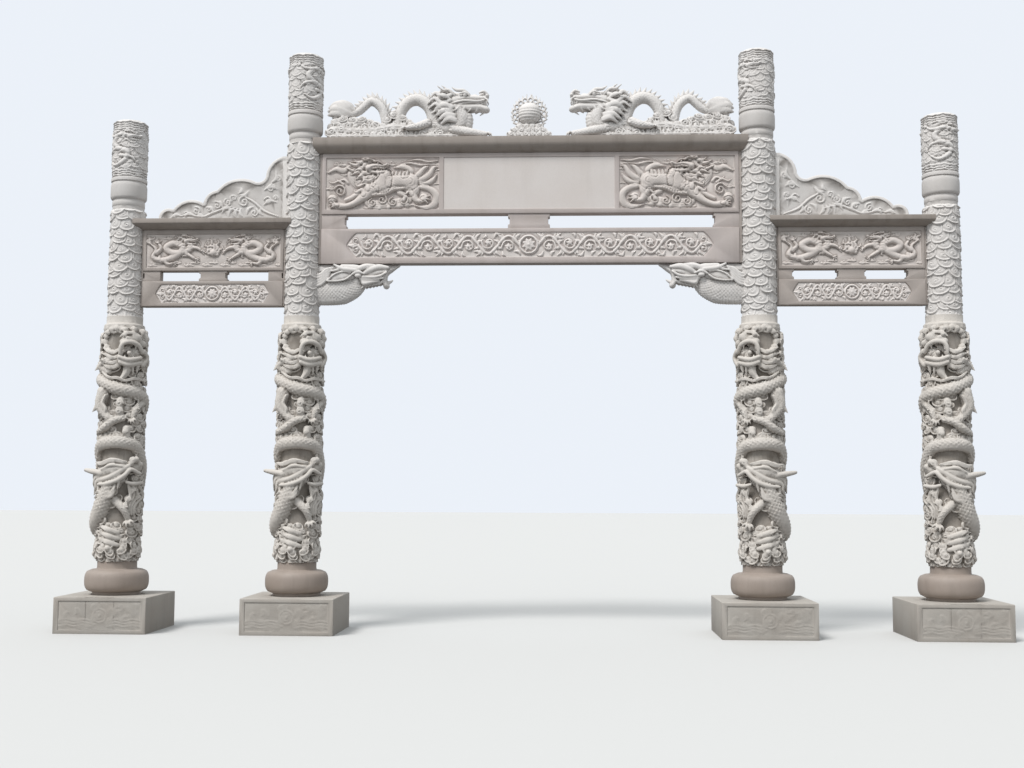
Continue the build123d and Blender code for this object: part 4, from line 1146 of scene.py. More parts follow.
def dragon_panel(width, height):
    """Two dragons facing a burning pearl over waves."""
    relief = Relief(width, height, .0062)
    wide, high = width / 1.83, height / .45
    for number in range(15):
        at = ((.06 + number * .125) * wide, (.05 + .03 * (number % 2)) * high)
        small_cloud(relief, at, .055, .018, 1 if number % 2 else -1)
    for u, v in ((.12, .38), (.3, .41), (.62, .4), (1.22, .4), (1.52, .41), (1.72, .38), (.9, .39)):
        small_cloud(relief, (u * wide, v * high), .05, .016)
    for flip in (1, -1):

        def at(*points):
            return [(width / 2 + flip * (u * wide - width / 2), v * high) for u, v in points]

        body = at((.04, .33), (.13, .25), (.1, .14), (.24, .1), (.42, .17), (.5, .27), (.38, .33),
            (.27, .27), (.36, .2), (.52, .21), (.62, .28), (.56, .34))
        relief.stroke(body, [.006, .02, .032, .04, .046, .046, .044, .044, .044, .042, .038, .03], .036,
            .009, scale_net(.024, .006), samples=70)
        for leg, heading in (
            (((.24, .11), (.3, .05), (.38, .06)), -20), (((.14, .2), (.2, .26), (.16, .33)), 100),
            (((.5, .22), (.6, .16), (.68, .11)), -30), (((.58, .28), (.7, .26), (.76, .22)), 0),
        ):
            points = at(*leg)
            relief.stroke(points, [.034, .024, .014], .034, .007, scale_net(.022, .004), samples=12)
            claw(relief, points[-1], .055, heading if flip == 1 else 180 - heading, .026)
        for root, tip in (((.04, .33), (.02, .42)), ((.05, .33), (.1, .42)), ((.45, .33), (.42, .42)),
                ((.18, .15), (.12, .08)), ((.55, .2), (.5, .13))):
            points = at(root, tip)
            flame(relief, points[0], points[1], .02, .024)
        dragon_head(relief, at((.6, .35))[0], .16, .042, flip)
    pearl = (width / 2, .2 * high)
    for number in range(9):
        angle = radians(-10 + 200 * number / 8)
        tip = (pearl[0] + .13 * cos(angle), pearl[1] + .05 + .14 * sin(angle))
        flame(relief, pearl, tip, .022, .028, .3 if number % 2 else -.3)
    relief.ball(pearl, .05, .045)
    relief.soften()
    return relief


panel_side, panel_top, panel_bottom, panel_sinking = .042, .058, .042, .016
panel_triangles = 16_500
for side in ("left", "right"):
    low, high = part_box(f"{side}_side_panel_beam")
    relief = dragon_panel(high.x - low.x - 2 * panel_side, high.z - low.z - panel_top - panel_bottom)
    piece = slab(f"{side}_dragon_panel", relief, low.x + panel_side, low.z + panel_bottom,
        high.y - panel_sinking + proud, panel_triangles, full_depth=.01)
print(piece.name, triangles(piece))

# %% [markdown]
# The plinths carry low leaves and flowers in a sunk field on each side. One slab design
# serves all sixteen fields: each copy is turned round the plinth's middle.

# %% Plinth carvings


def plinth_flowers(width, height):
    """Low, worn foliage and waves beside a round flower."""
    chance = np.random.default_rng(31)
    relief = Relief(width, height, .0085)
    middle = (width / 2, height / 2)
    for _ in range(46):
        at = (chance.uniform(.05, width - .05), chance.uniform(.04, height - .04))
        size = chance.uniform(.028, .05)
        curl(relief, at, size, chance.uniform(0, 360), chance.choice((-1.2, 1.2)), .005, 1, .26)
        angle = chance.uniform(0, 2 * pi)
        leaf(relief, at, (at[0] + 2 * size * cos(angle), at[1] + 1.6 * size * sin(angle)), .016, .0055)
    for row in range(3):
        for flip in (-1, 1):
            wave = [(middle[0] + flip * (.1 + .11 * k), .045 + .035 * row + .02 * (k % 2)) for k in range(5)]
            relief.stroke(wave, .011, .006, .003, samples=40)
    for radius in (.05, .085):
        ring = [(middle[0] + radius * cos(a), middle[1] + radius * sin(a))
            for a in np.linspace(0, 2 * pi, 17)]
        relief.stroke(ring, .011, .007, .003, samples=40)
    relief.ball(middle, .03, .009)
    relief.soften(2)
    return relief


plinth_arris, plinth_stile, plinth_rail, plinth_sinking = .009, .062, .048, .01
leaves_triangles = 2_400  # for one face
low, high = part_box("left_inner_plinth")
flowers = plinth_flowers(high.x - low.x - 2 * plinth_stile, high.z - low.z - 2 * plinth_rail)
for column in columns:
    low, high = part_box(f"{column}_plinth")
    worn_copy(f"{column}_plinth", plinth_arris, "plinth_granite")
    middle = (low + high) / 2
    corner = (middle.x - flowers.width / 2, low.z + plinth_rail)
    carvings = []
    for turn in (0, 90):
        carving = slab(f"{column}_leaves_{turn}", flowers, *corner, high.y - plinth_sinking + proud,
            leaves_triangles, "plinth_granite", full_depth=.014)
        if turn:
            rotation = Matrix.Rotation(radians(turn), 4, "Z")
            carving.data.transform(Matrix.Translation(middle) @ rotation @ Matrix.Translation(-middle))
            shift = (high.y - low.y) / 2 - (high.x - low.x) / 2
            for vertex in carving.data.vertices:
                vertex.co.x += shift if vertex.co.x < middle.x else -shift
        carvings.append(carving)
    focus(carvings[0])
    carvings[1].select_set(True)
    bpy.ops.object.join()
    carvings[0].name = f"{column}_plinth_leaves"
print("plinths:", len(columns))

# %% [markdown]
# Over each side bay a panel steps down from the tall column to the short one in five
# cloud-shaped lobes. Its outline is a row of arcs. The face is a grid stretched between
# the foot and that outline, so its points follow the edge, and the raised rim comes from
# the distance to it.

# %% Gables
gable_lobes = (  # start, middle and end of each arc, as shares of the length and the rise
    ((1, 0), (.98, .15), (.89, .175)), ((.89, .175), (.79, .315), (.65, .27)),
    ((.65, .27), (.615, .41), (.545, .475)), ((.545, .475), (.44, .625), (.24, .6)),
    ((.24, .6), (.185, .62), (.16, .69)), ((.16, .69), (.12, .89), (.03, 1)),
)
gable_length, gable_rise, gable_thickness = 1.7, .86, .12
gable_strip, gable_rim, gable_sinking = .045, .042, .014
gable_triangles = 16_000


def arc_through(a, b, c, count):
    """Even points on the circle's arc from a over b to c."""
    (ax, ay), (bx, by), (cx, cy) = a, b, c
    d = 2 * (ax * (by - cy) + bx * (cy - ay) + cx * (ay - by))
    a2, b2, c2 = ax**2 + ay**2, bx**2 + by**2, cx**2 + cy**2
    x = (a2 * (by - cy) + b2 * (cy - ay) + c2 * (ay - by)) / d
    y = (a2 * (cx - bx) + b2 * (ax - cx) + c2 * (bx - ax)) / d
    angles = np.unwrap([atan2(ay - y, ax - x), atan2(by - y, bx - x), atan2(cy - y, cx - x)])
    steps = np.linspace(angles[0], angles[2], count)
    radius = hypot(ax - x, ay - y)
    return np.stack([x + radius * np.cos(steps), y + radius * np.sin(steps)], 1)


def gable_outline():
    """Points from the outer foot, up over the lobes, to the wall of the tall column."""
    size = np.array((gable_length, gable_rise))
    rows = [arc_through(*(tuple(np.array(p) * size) for p in lobe), 34)[:-1] for lobe in gable_lobes]
    top = np.array([(.03 * gable_length, gable_rise), (-.03, gable_rise)])
    return np.vstack(rows + [top])


def gable_scrolls():
    """A long scroll with leaves, a curl near the wall and flowers, inside a raised rim."""
    relief = Relief(gable_length, gable_rise, .0062)
    lift = .016
    relief.stroke([(.1, .05), (.28, .12), (.42, .24), (.54, .31)], [.009, .017, .017, .014], lift, .008,
        samples=30)
    curl(relief, (.56, .25), .08, 100, -1.35, lift, width=.18)
    relief.stroke([(.62, .12), (.8, .16), (.98, .1), (1.12, .05), (1.3, .08), (1.42, .06)],
        [.009, .017, .017, .014, .012, .005], lift, .008, samples=34)
    for at, size, start, turns in (
        ((.11, .56), .04, 60, 1.3), ((.2, .43), .052, 160, -1.4), ((.24, .26), .05, 20, 1.3),
        ((.14, .3), .035, 200, -1.2), ((.42, .1), .05, 120, 1.3), ((.7, .3), .045, 300, 1.3),
        ((.78, .24), .05, 60, -1.3), ((.92, .2), .045, 100, 1.2), ((1.02, .14), .04, 250, -1.2),
        ((1.2, .13), .05, 80, 1.3), ((1.34, .1), .032, 300, -1.2), ((1.5, .07), .03, 100, 1.2),
    ):
        curl(relief, at, 1.12 * size, start, turns, lift, width=.2)
    for root, tip in (
        ((.12, .42), (.3, .4)), ((.12, .24), (.3, .2)), ((.34, .16), (.3, .06)), ((.44, .18), (.52, .08)),
        ((.6, .16), (.56, .04)), ((.64, .16), (.66, .05)), ((.68, .17), (.76, .06)),
        ((.72, .18), (.86, .09)), ((.84, .16), (.96, .26)), ((.96, .1), (1.08, .18)),
        ((1.1, .06), (1.2, .05)), ((1.24, .08), (1.36, .05)), ((.62, .34), (.5, .4)),
        ((.64, .36), (.6, .44)), ((.2, .5), (.14, .66)), ((1.4, .06), (1.54, .04)),
    ):
        leaf(relief, root, tip, .026, lift, .22)
    relief.soften()
    return relief


def make_gable(side, way):
    low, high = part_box(f"{side}_side_gable")
    wall = high.x - gable_length if way > 0 else low.x + gable_length
    outline = gable_outline()
    relief = gable_scrolls()
    foot = np.stack([np.linspace(gable_length, -.03, len(outline)), np.zeros(len(outline))], 1)
    share = np.linspace(0, 1, 64)[:, None, None]
    flat = foot[None] * (1 - share) + outline[None] * share
    u, v = flat[..., 0], flat[..., 1]
    gap = np.min(np.hypot(u[..., None] - outline[:-2, 0], v[..., None] - outline[:-2, 1]), -1)
    rim = np.clip((gable_rim - gap) / .008 + .5, 0, 1)
    strip = np.clip((gable_strip - u) / .006 + .5, 0, 1)
    foot_rim = np.clip((.02 - v) / .006 + .5, 0, 1)
    raised = np.maximum.reduce([rim, strip, foot_rim])
    carving = relief.sampled(np.clip(u, 0, gable_length), v) * (1 - raised)
    arris = .008 * np.clip(1 - gap / .01, 0, 1) ** 2
    depth = gable_thickness / 2 - gable_sinking * (1 - raised) + carving - arris
    rows, count = u.shape
    front = np.stack([wall + way * u, -depth, low.z + v], -1).reshape(-1, 3)
    first = len(front)
    faces = grid_faces(rows, count)
    faces += [tuple(reversed([first + k for k in face])) for face in faces]
    border = grid_border(rows, count)
    for corner, following in zip(border, border[1:] + border[:1]):
        faces.append((following, corner, first + corner, first + following))
    piece = mesh_piece(f"{side}_gable_carving", np.vstack([front, front * (1, -1, 1)]), faces)
    focus(piece)
    bpy.ops.object.mode_set(mode="EDIT")
    bpy.ops.mesh.select_all(action="SELECT")
    bpy.ops.mesh.remove_doubles(threshold=.0001)
    bpy.ops.mesh.normals_make_consistent(inside=False)
    bpy.ops.object.mode_set(mode="OBJECT")
    thin(piece, gable_triangles)
    return finish_piece(piece, "carved_granite", [f"{side}_side_gable"], full_depth=.016)


for side, way in (("left", -1), ("right", 1)):
    piece = make_gable(side, way)
print(piece.name, triangles(piece))

# %% [markdown]
# The dragons stand clear of their stones, so heights over a face can't hold them. They are
# built like clay figures instead: closed tubes and lumps that overlap freely, pushed
# together and melted into one skin by a voxel remesh, then thinned. Modelling the skin
# directly would need every crossing of two coils to be stitched by hand.

# %% Clay


def placed(origin, forward, up, size):
    """A placement for a motif: local x forward, y to the side and z up, each with its size."""
    x = np.array(Vector(forward).normalized())
    z = np.array(up, float) - np.dot(up, x) * x
    z /= np.linalg.norm(z)
    basis = np.stack([x, np.cross(z, x), z]) * np.broadcast_to(np.array(size, float), 3)[:, None]
    return lambda points: np.asarray(points) @ basis + np.array(origin, float)


def scaled(size, depth):
    """Overlapping scales round a tube, with a whole number of them in each turn."""

    def texture(along, angle, radius):
        count = max(4, round(2 * pi * radius.mean() / size))
        return depth * (net(along, angle / (2 * pi) * count * size, size) - .5)

    return texture


def ringed(size, depth):
    """Plates across a tube, as on a belly."""
    return lambda along, angle, radius: -depth * np.abs(np.cos(pi * along / size)) ** 5 + 0 * angle


def combed(count, depth):
    """Grooves along a tube, as in hair, flames and water."""
    return lambda along, angle, radius: -depth * np.cos(count * angle / 2) ** 2 + 0 * along


class Clay:
    """Closed tubes and lumps, gathered to be melted together."""

    def __init__(self):
        self.points, self.faces, self.count = [], [], 0
        self.to = lambda points: np.asarray(points)

    def add(self, points, faces):
        self.points.append(self.to(points))
        self.faces += [tuple(corner + self.count for corner in face) for face in faces]
        self.count += len(points)

    def rings(self, rings):
        """A closed skin over rings of points, with a point at each end."""
        ends = (rings[0].mean(0), rings[-1].mean(0))
        self.add(np.vstack([rings.reshape(-1, 3), *ends]), skin_faces(*rings.shape[:2]))

    def tube(self, line, radius, texture=None, flat=1, up=(0, 0, 1), sides=10, samples=0, spacing=0):
        """A round or flattened tube with rounded ends. Flat scales it towards up."""
        line = np.asarray(line, float)
        if not samples:
            length = np.linalg.norm(np.diff(line, axis=0), axis=1).sum()
            samples = max(4 * (len(line) - 1), round(length / spacing)) if spacing else 5 * (len(line) - 1)
        centre = smooth_line(line, samples)
        radii = spread(radius, samples)
        along = np.gradient(centre, axis=0)
        along /= np.maximum(np.linalg.norm(along, axis=1), 1e-9)[:, None]
        normal = np.array(up, float)
        if abs(normal @ along[0]) > .95 * np.linalg.norm(normal):
            normal = np.array((0, 1, 0)) if abs(along[0][1]) < .9 else np.array((1, 0, 0))
        normals = []
        for direction in along:
            normal = normal - (normal @ direction) * direction
            normal /= np.linalg.norm(normal)
            normals.append(normal)
        normals = np.array(normals)
        sideways = np.cross(along, normals)
        angle = np.arange(sides) * 2 * pi / sides
        reach = np.repeat(radii[:, None], sides, 1)
        if texture is not None:
            steps = np.concatenate([[0], np.cumsum(np.linalg.norm(np.diff(centre, axis=0), axis=1))])
            reach = reach + texture(steps[:, None], angle[None], radii)
        ring = np.cos(angle)[:, None] * sideways[:, None] + flat * np.sin(angle)[:, None] * normals[:, None]
        rows = centre[:, None] + reach[..., None] * ring
        cap = np.radians((80, 55, 28))[:, None, None]
        start = centre[0] + (rows[0] - centre[0]) * np.cos(cap) - along[0] * radii[0] * np.sin(cap)
        cap = cap[::-1]
        end = centre[-1] + (rows[-1] - centre[-1]) * np.cos(cap) + along[-1] * radii[-1] * np.sin(cap)
        self.rings(np.concatenate([start, rows, end]))

    def lump(self, centre, radii, sides=12):
        """An egg-shaped lump, its three radii along local x, y and z."""
        rise = np.linspace(-pi / 2 + .2, pi / 2 - .2, sides // 2 + 1)[:, None]
        angle = (np.arange(sides) * 2 * pi / sides)[None]
        unit = np.stack([np.cos(rise) * np.cos(angle), np.cos(rise) * np.sin(angle),
            np.sin(rise) + 0 * angle], -1)
        self.rings(np.array(centre, float) + unit * np.broadcast_to(np.array(radii, float), 3))

    def coil(self, centre, out, up, radius, thick, turns=1.4, start=0, flip=1, bulge=.5):
        """A tube that winds inwards to a ball, facing along out."""
        out = np.array(Vector(out).normalized())
        up = np.array(up, float) - np.dot(up, out) * out
        up /= np.linalg.norm(up)
        right = np.cross(up, out) * flip
        winding = np.array(spiral((0, 0), 1, start, turns, .22, 12)) * radius
        rise = np.linspace(0, bulge, len(winding)) * thick
        line = np.array(centre) + winding[:, :1] * right + winding[:, 1:] * up + rise[:, None] * out
        self.tube(line, [thick * .8, thick, thick * .8], up=out, sides=8, samples=28)
        self.lump(line[-1] + .2 * thick * out, 1.15 * thick, sides=8)

    def cloud(self, centre, out, size, flip=1, lean=0, thick=.009):
        """A cloud on a wall that faces along out: a bowl, its raised lower rim and a curl."""
        out = np.array(Vector(out).normalized())
        right = np.cross((0, 0, 1), out) * flip
        up = np.cross(out, right) * flip
        right, up = right * cos(lean) + up * sin(lean), up * cos(lean) - right * sin(lean)
        centre = np.array(centre, float)
        axes = np.stack([right, up, out])
        keep, self.to = self.to, lambda points: keep(centre + np.asarray(points) @ axes)
        self.lump((0, 0, -.15 * size), (size, .66 * size, .24 * size), sides=12)
        rim = [(.92 * size * cos(radians(a)), .6 * size * sin(radians(a)) - .02 * size, .12 * size)
            for a in (150, 190, 230, 270, 310, 350, 390)]
        self.tube(rim, [.5 * thick, thick, 1.1 * thick, thick, .5 * thick], up=(0, 0, 1), sides=8,
            samples=16)
        self.to = keep
        self.coil(centre + .11 * size * out + .05 * size * up, out, up, .44 * size, .8 * thick, turns=1.2,
            start=40, flip=flip)

    def melt(self, name, voxel, wanted):
        """One skin over everything. The few doubled faces that thinning leaves are taken out."""
        piece = mesh_piece(name, np.vstack(self.points), self.faces)
        apply_modifier(piece, "REMESH", mode="VOXEL", voxel_size=voxel)
        thin(piece, wanted)
        piece.data.validate()
        return piece


# %% [markdown]
# The head of a ridge dragon is drawn in a box of unit size: the nose at x = 1, the back of
# the skull at x = 0 and the lips of the open mouth a little over z = 0. Claws, legs and
# fins serve every dragon in clay.

# %% Dragon parts in clay


def clay_head(clay):
    """A dragon's head: skull, jaws, teeth, eyes, brows, horns, ears, mane and beard."""
    low, jaw, mane, horn = .02, 1.35, .5, .55  # height of the lower lip, then shares of full size
    clay.lump((.14, 0, .08), (.26, .17, .17))
    clay.tube([(.15, 0, .1), (.5, 0, .155), (.8, 0, .13), (.94, 0, .15)], [.165, .125, .105, .085], flat=.85)
    clay.lump((.96, 0, .215), (.08, .085, .06))
    clay.tube([(.08, 0, -.08), (.45, 0, low - .1 * jaw), (.75, 0, low - .1 * jaw),
        (.93, 0, low - .14 * jaw)], [.14 * jaw, .115 * jaw, .1 * jaw, .085 * jaw], flat=.85)
    clay.tube([(.3, 0, low), (.6, 0, low), (.8, 0, low + .05), (.94, 0, low + .1)], [.06, .055, .05, .02],
        flat=.5)
    clay.tube([(.9, 0, low - .14), (.88, 0, low - .26), (.76, 0, low - .36)], [.05, .04, .012],
        combed(6, .01))
    clay.tube([(.1, 0, -.03), (.55, 0, 0), (.9, 0, .03)], [.13, .115, .08])
    for side in (-1, 1):

        def part(points, radius, texture=None, flat=1, up=(0, 0, 1)):
            clay.tube([(x, side * y, z) for x, y, z in points], radius, texture, flat, up)

        part([(.06, .15, -.02), (.4, .14, .055), (.75, .115, .03), (.97, .05, .09)], [.03, .034, .036, .03])
        part([(.08, .13, -.07), (.42, .12, low - .03), (.76, .085, low - .03), (.95, .02, low - .05)],
            [.03, .03, .03, .028])
        clay.lump((.99, side * .07, .19), .042)
        part([(.98, .05, .24), (.9, .075, .3), (.8, .08, .27)], [.04, .045, .025])
        clay.lump((.43, side * .115, .215), .052)
        part([(.54, .11, .2), (.44, .14, .275), (.3, .15, .24)], [.022, .03, .018])
        part([(.55, .09, .25), (.4, .12, .335), (.22, .14, .35), (.1, .17, .44)], [.02, .052, .045, .01],
            combed(7, .008))
        part([(.16, .1, .24), (.16 - .24 * horn, .13, .36), (.16 - .48 * horn, .16, .36),
            (.16 - .72 * horn, .2, .46)], [.05, .045, .034, .014])
        part([(.16 - .3 * horn, .14, .36), (.12 - .34 * horn, .15, .43), (.08 - .4 * horn, .16, .48)],
            [.03, .025, .012])
        part([(.06, .16, .12), (-.08, .24, .18), (-.26, .27, .2)], [.03, .075, .012], flat=.45,
            up=(0, 1, .3))
        part([(.84, .085, 0), (.86, .09, low - .07)], [.026, .008])
        part([(.88, .05, low - .04), (.9, .06, low + .06)], [.022, .007])
        for tooth in (.32, .44, .56, .68):
            part([(tooth, .12, .03), (tooth + .01, .12, low + .01)], [.024, .008])
        part([(.93, .08, .12), (1, .12, .05), (.97, .14, -.03)], [.024, .02, .01])
        for start, tip in (((.3, .13, -.08), (.12, .2, -.24)), ((.18, .14, -.06), (-.04, .22, -.2)),
                ((.44, .1, low - .08), (.3, .14, low - .26)), ((.6, .08, low - .1), (.48, .1, low - .27)),
                ((.75, .06, low - .12), (.66, .07, low - .27))):
            part([start, tuple(np.add(start, tip) / 2 + np.array((.02, .02, -.02))), tip], [.04, .034, .008],
                combed(5, .008))
        for height, swing, length, out in (
            (.3, .06, .7, .1), (.22, -.07, .9, .17), (.14, .08, .78, .14), (.07, -.07, 1, .19),
            (0, .07, .85, .15), (-.07, -.06, .95, .19), (-.14, .07, .75, .15), (-.21, -.05, .8, .17),
            (-.26, .04, .55, .13),
        ):
            length *= mane
            lock = [(.06, .8 * out, height), (-.3 * length, out, height + swing),
                (-.64 * length, .95 * out, height - swing), (-length, .8 * out, height + .7 * swing)]
            part(lock, [.055, .066, .056, .022], combed(7, .012))
    for height in (.28, .2):
        clay.tube([(.1, 0, height), (-.3 * mane, 0, height + .08), (-.6 * mane, 0, height),
            (-.9 * mane, 0, height + .1)], [.07, .07, .05, .012], combed(7, .01))
    for place in (.3, .5, .68):
        clay.lump((place, 0, .26 - .06 * place), (.07, .05, .05), sides=8)


def clay_claw(clay, at, forward, up, size):
    """A foot with four hooked toes in front and one behind."""
    keep, clay.to = clay.to, placed(at, forward, up, size)
    clay.lump((0, 0, 0), (.34, .3, .22))
    for heading in (-48, -16, 16, 48, 180):
        c, s = cos(radians(heading)), sin(radians(heading))
        clay.tube([(.15 * c, .15 * s, .02), (.52 * c, .52 * s, .16), (.78 * c, .78 * s, -.02),
            (.86 * c, .86 * s, -.26)], [.14, .13, .09, .03])
        clay.lump((.5 * c, .5 * s, .15), .14, sides=8)
    clay.to = keep


def clay_leg(clay, line, radius, claw_forward, claw_up, claw_size, fringe):
    """A scaled leg with a fringe of fur at the knee and a claw at its end."""
    clay.tube(line, [radius, .85 * radius, .55 * radius], scaled(.044, .016), sides=52, spacing=.01)
    clay_claw(clay, line[-1], claw_forward, claw_up, claw_size)
    knee = np.array(line[1], float)
    for k, lean in enumerate((-.5, 0, .5, 1)):
        tip = knee + np.array(fringe) * (1 - .12 * k) + np.array((0, 0, .07 * lean))
        clay.tube([knee + (0, 0, .03 * lean), (knee + tip) / 2 + (0, 0, .015), tip],
            [.5 * radius, .4 * radius, .006], combed(5, .004))


def clay_fins(clay, line, out, rise, every, sweep=.6, thick=.012):
    """A saw-toothed crest along a line, its teeth swept back."""
    samples = 120
    path, outward = smooth_line(line, samples), smooth_line(out, samples)
    length = np.concatenate([[0], np.cumsum(np.linalg.norm(np.diff(path, axis=0), axis=1))])
    for place in np.arange(.5 * every, length[-1], every):
        k = int(np.clip(np.searchsorted(length, place), 1, samples - 1))
        along = path[k] - path[k - 1]
        along /= np.linalg.norm(along)
        away = outward[k] / np.linalg.norm(outward[k])
        root, tip = path[k] - .3 * rise * away, path[k] + rise * (away + sweep * along)
        clay.tube([root, (root + tip) / 2 + .1 * rise * along, tip], [.5 * every, .36 * every, .004],
            flat=thick / (.5 * every), up=np.cross(along, away), sides=8)


# %% [markdown]
# A dragon shaft is a plain round core with two dragons wound round it. The upper one hangs
# its open mouth out at the top, the lower one turns its head in under the arch of its own
# back, and rocks and waves close the foot. Places on the shaft are written as u, the offset
# from the axis seen from the front, and z. Plain windows of bare core stay free of clouds.

# %% Dragon shafts
core_radius = .232
coil_reach = .247  # from the axis to the middle of a body
shaft_triangles = 76_000
shaft_voxel = .0066


def facing(u, z, reach):
    """A place on the front of the shaft."""
    return (u, -sqrt(max(reach**2 - u**2, 0)), z)


def around(angle, z, reach):
    """A place round the shaft: 0 degrees inwards, 90 to the front and 180 outwards."""
    return (-reach * cos(radians(angle)), -reach * sin(radians(angle)), z)


plain_windows = (  # u and z of the middle, and half sizes, in metres
    (.04, 3.73, .12, .11), (-.17, 3.6, .09, .09), (.01, 3.31, .06, .07), (.03, 2.91, .055, .09),
    (-.05, 2.61, .07, .065), (0, 2.26, .18, .06), (-.1, 1.82, .075, .09), (-.01, 1.5, .08, .07),
)


def in_window(u, z, margin):
    return any(abs(u - a) < w + margin and abs(z - b) < h + margin for a, b, w, h in plain_windows)


def wall_cloud(clay, angle, z, size, chance):
    """A cloud on the core of the shaft, standing further out at the two sides."""
    reach = .25 + .032 * cos(radians(angle)) ** 2 + chance.uniform(0, .012)
    clay.lump(around(angle, z, reach - .042), (.056, .056, .05), sides=8)
    clay.cloud(around(angle, z, reach), around(angle, 0, 1), size, either(chance), chance.uniform(-.4, .4),
        .0095)


def strand(clay, points, radius, reach=.3, grooves=0):
    """A lip, fold or lock laid over the front of the shaft, its points given as u and z."""
    clay.tube([facing(u, z, reach) for u, z in points], radius, combed(grooves, .006) if grooves else None)


def front_coil(clay, u, z, reach, radius, thick=.014, flip=1):
    """A curl that faces the front of the shaft."""
    clay.coil(facing(u, z, reach), facing(u, 0, 1), (0, 0, 1), radius, thick, flip=flip)


def upper_head(clay):
    """The upper head: an arched lip over an open mouth, and a heavy jaw like a ledge."""
    clay.lump(facing(-.17, 3.79, .26), (.13, .09, .08))
    clay.lump(facing(-.27, 3.8, .26), (.055, .06, .1))
    strand(clay, [(-.28, 3.72), (-.18, 3.775), (-.09, 3.73)], .05, .3)
    strand(clay, [(-.305, 3.6), (-.27, 3.69), (-.19, 3.73), (-.11, 3.71), (-.072, 3.65), (-.066, 3.57)],
        [.026, .03, .033, .03, .026, .02], .345)
    strand(clay, [(-.28, 3.79), (-.21, 3.85), (-.12, 3.84), (-.05, 3.79)], [.018, .03, .03, .01], .325, 5)
    for u, z, radius in ((-.245, 3.768, .03), (-.15, 3.775, .032), (-.215, 3.82, .026), (-.115, 3.815, .028),
            (-.172, 3.585, .032)):
        clay.lump(facing(u, z, .335), radius, sides=8)
    for u, z, radius in ((-.28, 3.88, .04), (-.2, 3.905, .036), (-.1, 3.89, .032), (-.3, 3.8, .03)):
        front_coil(clay, u, z, .3, radius)
        clay.lump(facing(u, z, .27), (.04, .04, .04), sides=8)
    strand(clay, [(-.305, 3.62), (-.325, 3.54), (-.3, 3.44)], .036, .33)
    strand(clay, [(-.07, 3.58), (-.05, 3.52), (-.08, 3.45)], .03, .315)
    strand(clay, [(-.26, 3.49), (-.17, 3.46), (-.08, 3.48)], .055, .285)
    strand(clay, [(-.29, 3.53), (-.17, 3.492), (-.065, 3.525)], [.026, .034, .026], .345)
    strand(clay, [(-.285, 3.465), (-.17, 3.43), (-.07, 3.46)], [.03, .038, .03], .33)
    strand(clay, [(-.17, 3.47), (-.172, 3.56)], [.04, .03], .3)
    for u, top, foot in ((-.24, 3.71, 3.635), (-.1, 3.69, 3.62), (-.215, 3.5, 3.56), (-.125, 3.5, 3.555)):
        strand(clay, [(u, top), (u, foot)], [.018, .005], .34)
    strand(clay, [(-.14, 3.41), (-.125, 3.32), (-.06, 3.24)], [.055, .05, .02], .285, 5)
    strand(clay, [(-.25, 3.42), (-.245, 3.32)], [.034, .008], .31, 5)
    strand(clay, [(-.2, 3.4), (-.21, 3.3)], [.03, .008], .31, 5)
    for lock in (
        ((-.03, 3.62), (.04, 3.59), (.12, 3.62), (.2, 3.66)),
        ((-.05, 3.55), (.04, 3.52), (.13, 3.56), (.24, 3.6)),
        ((-.05, 3.49), (.04, 3.455), (.14, 3.47), (.24, 3.53)),
        ((-.04, 3.43), (.03, 3.395), (.12, 3.41), (.2, 3.45)),
    ):
        strand(clay, lock, [.032, .034, .028, .009], .292, 5)


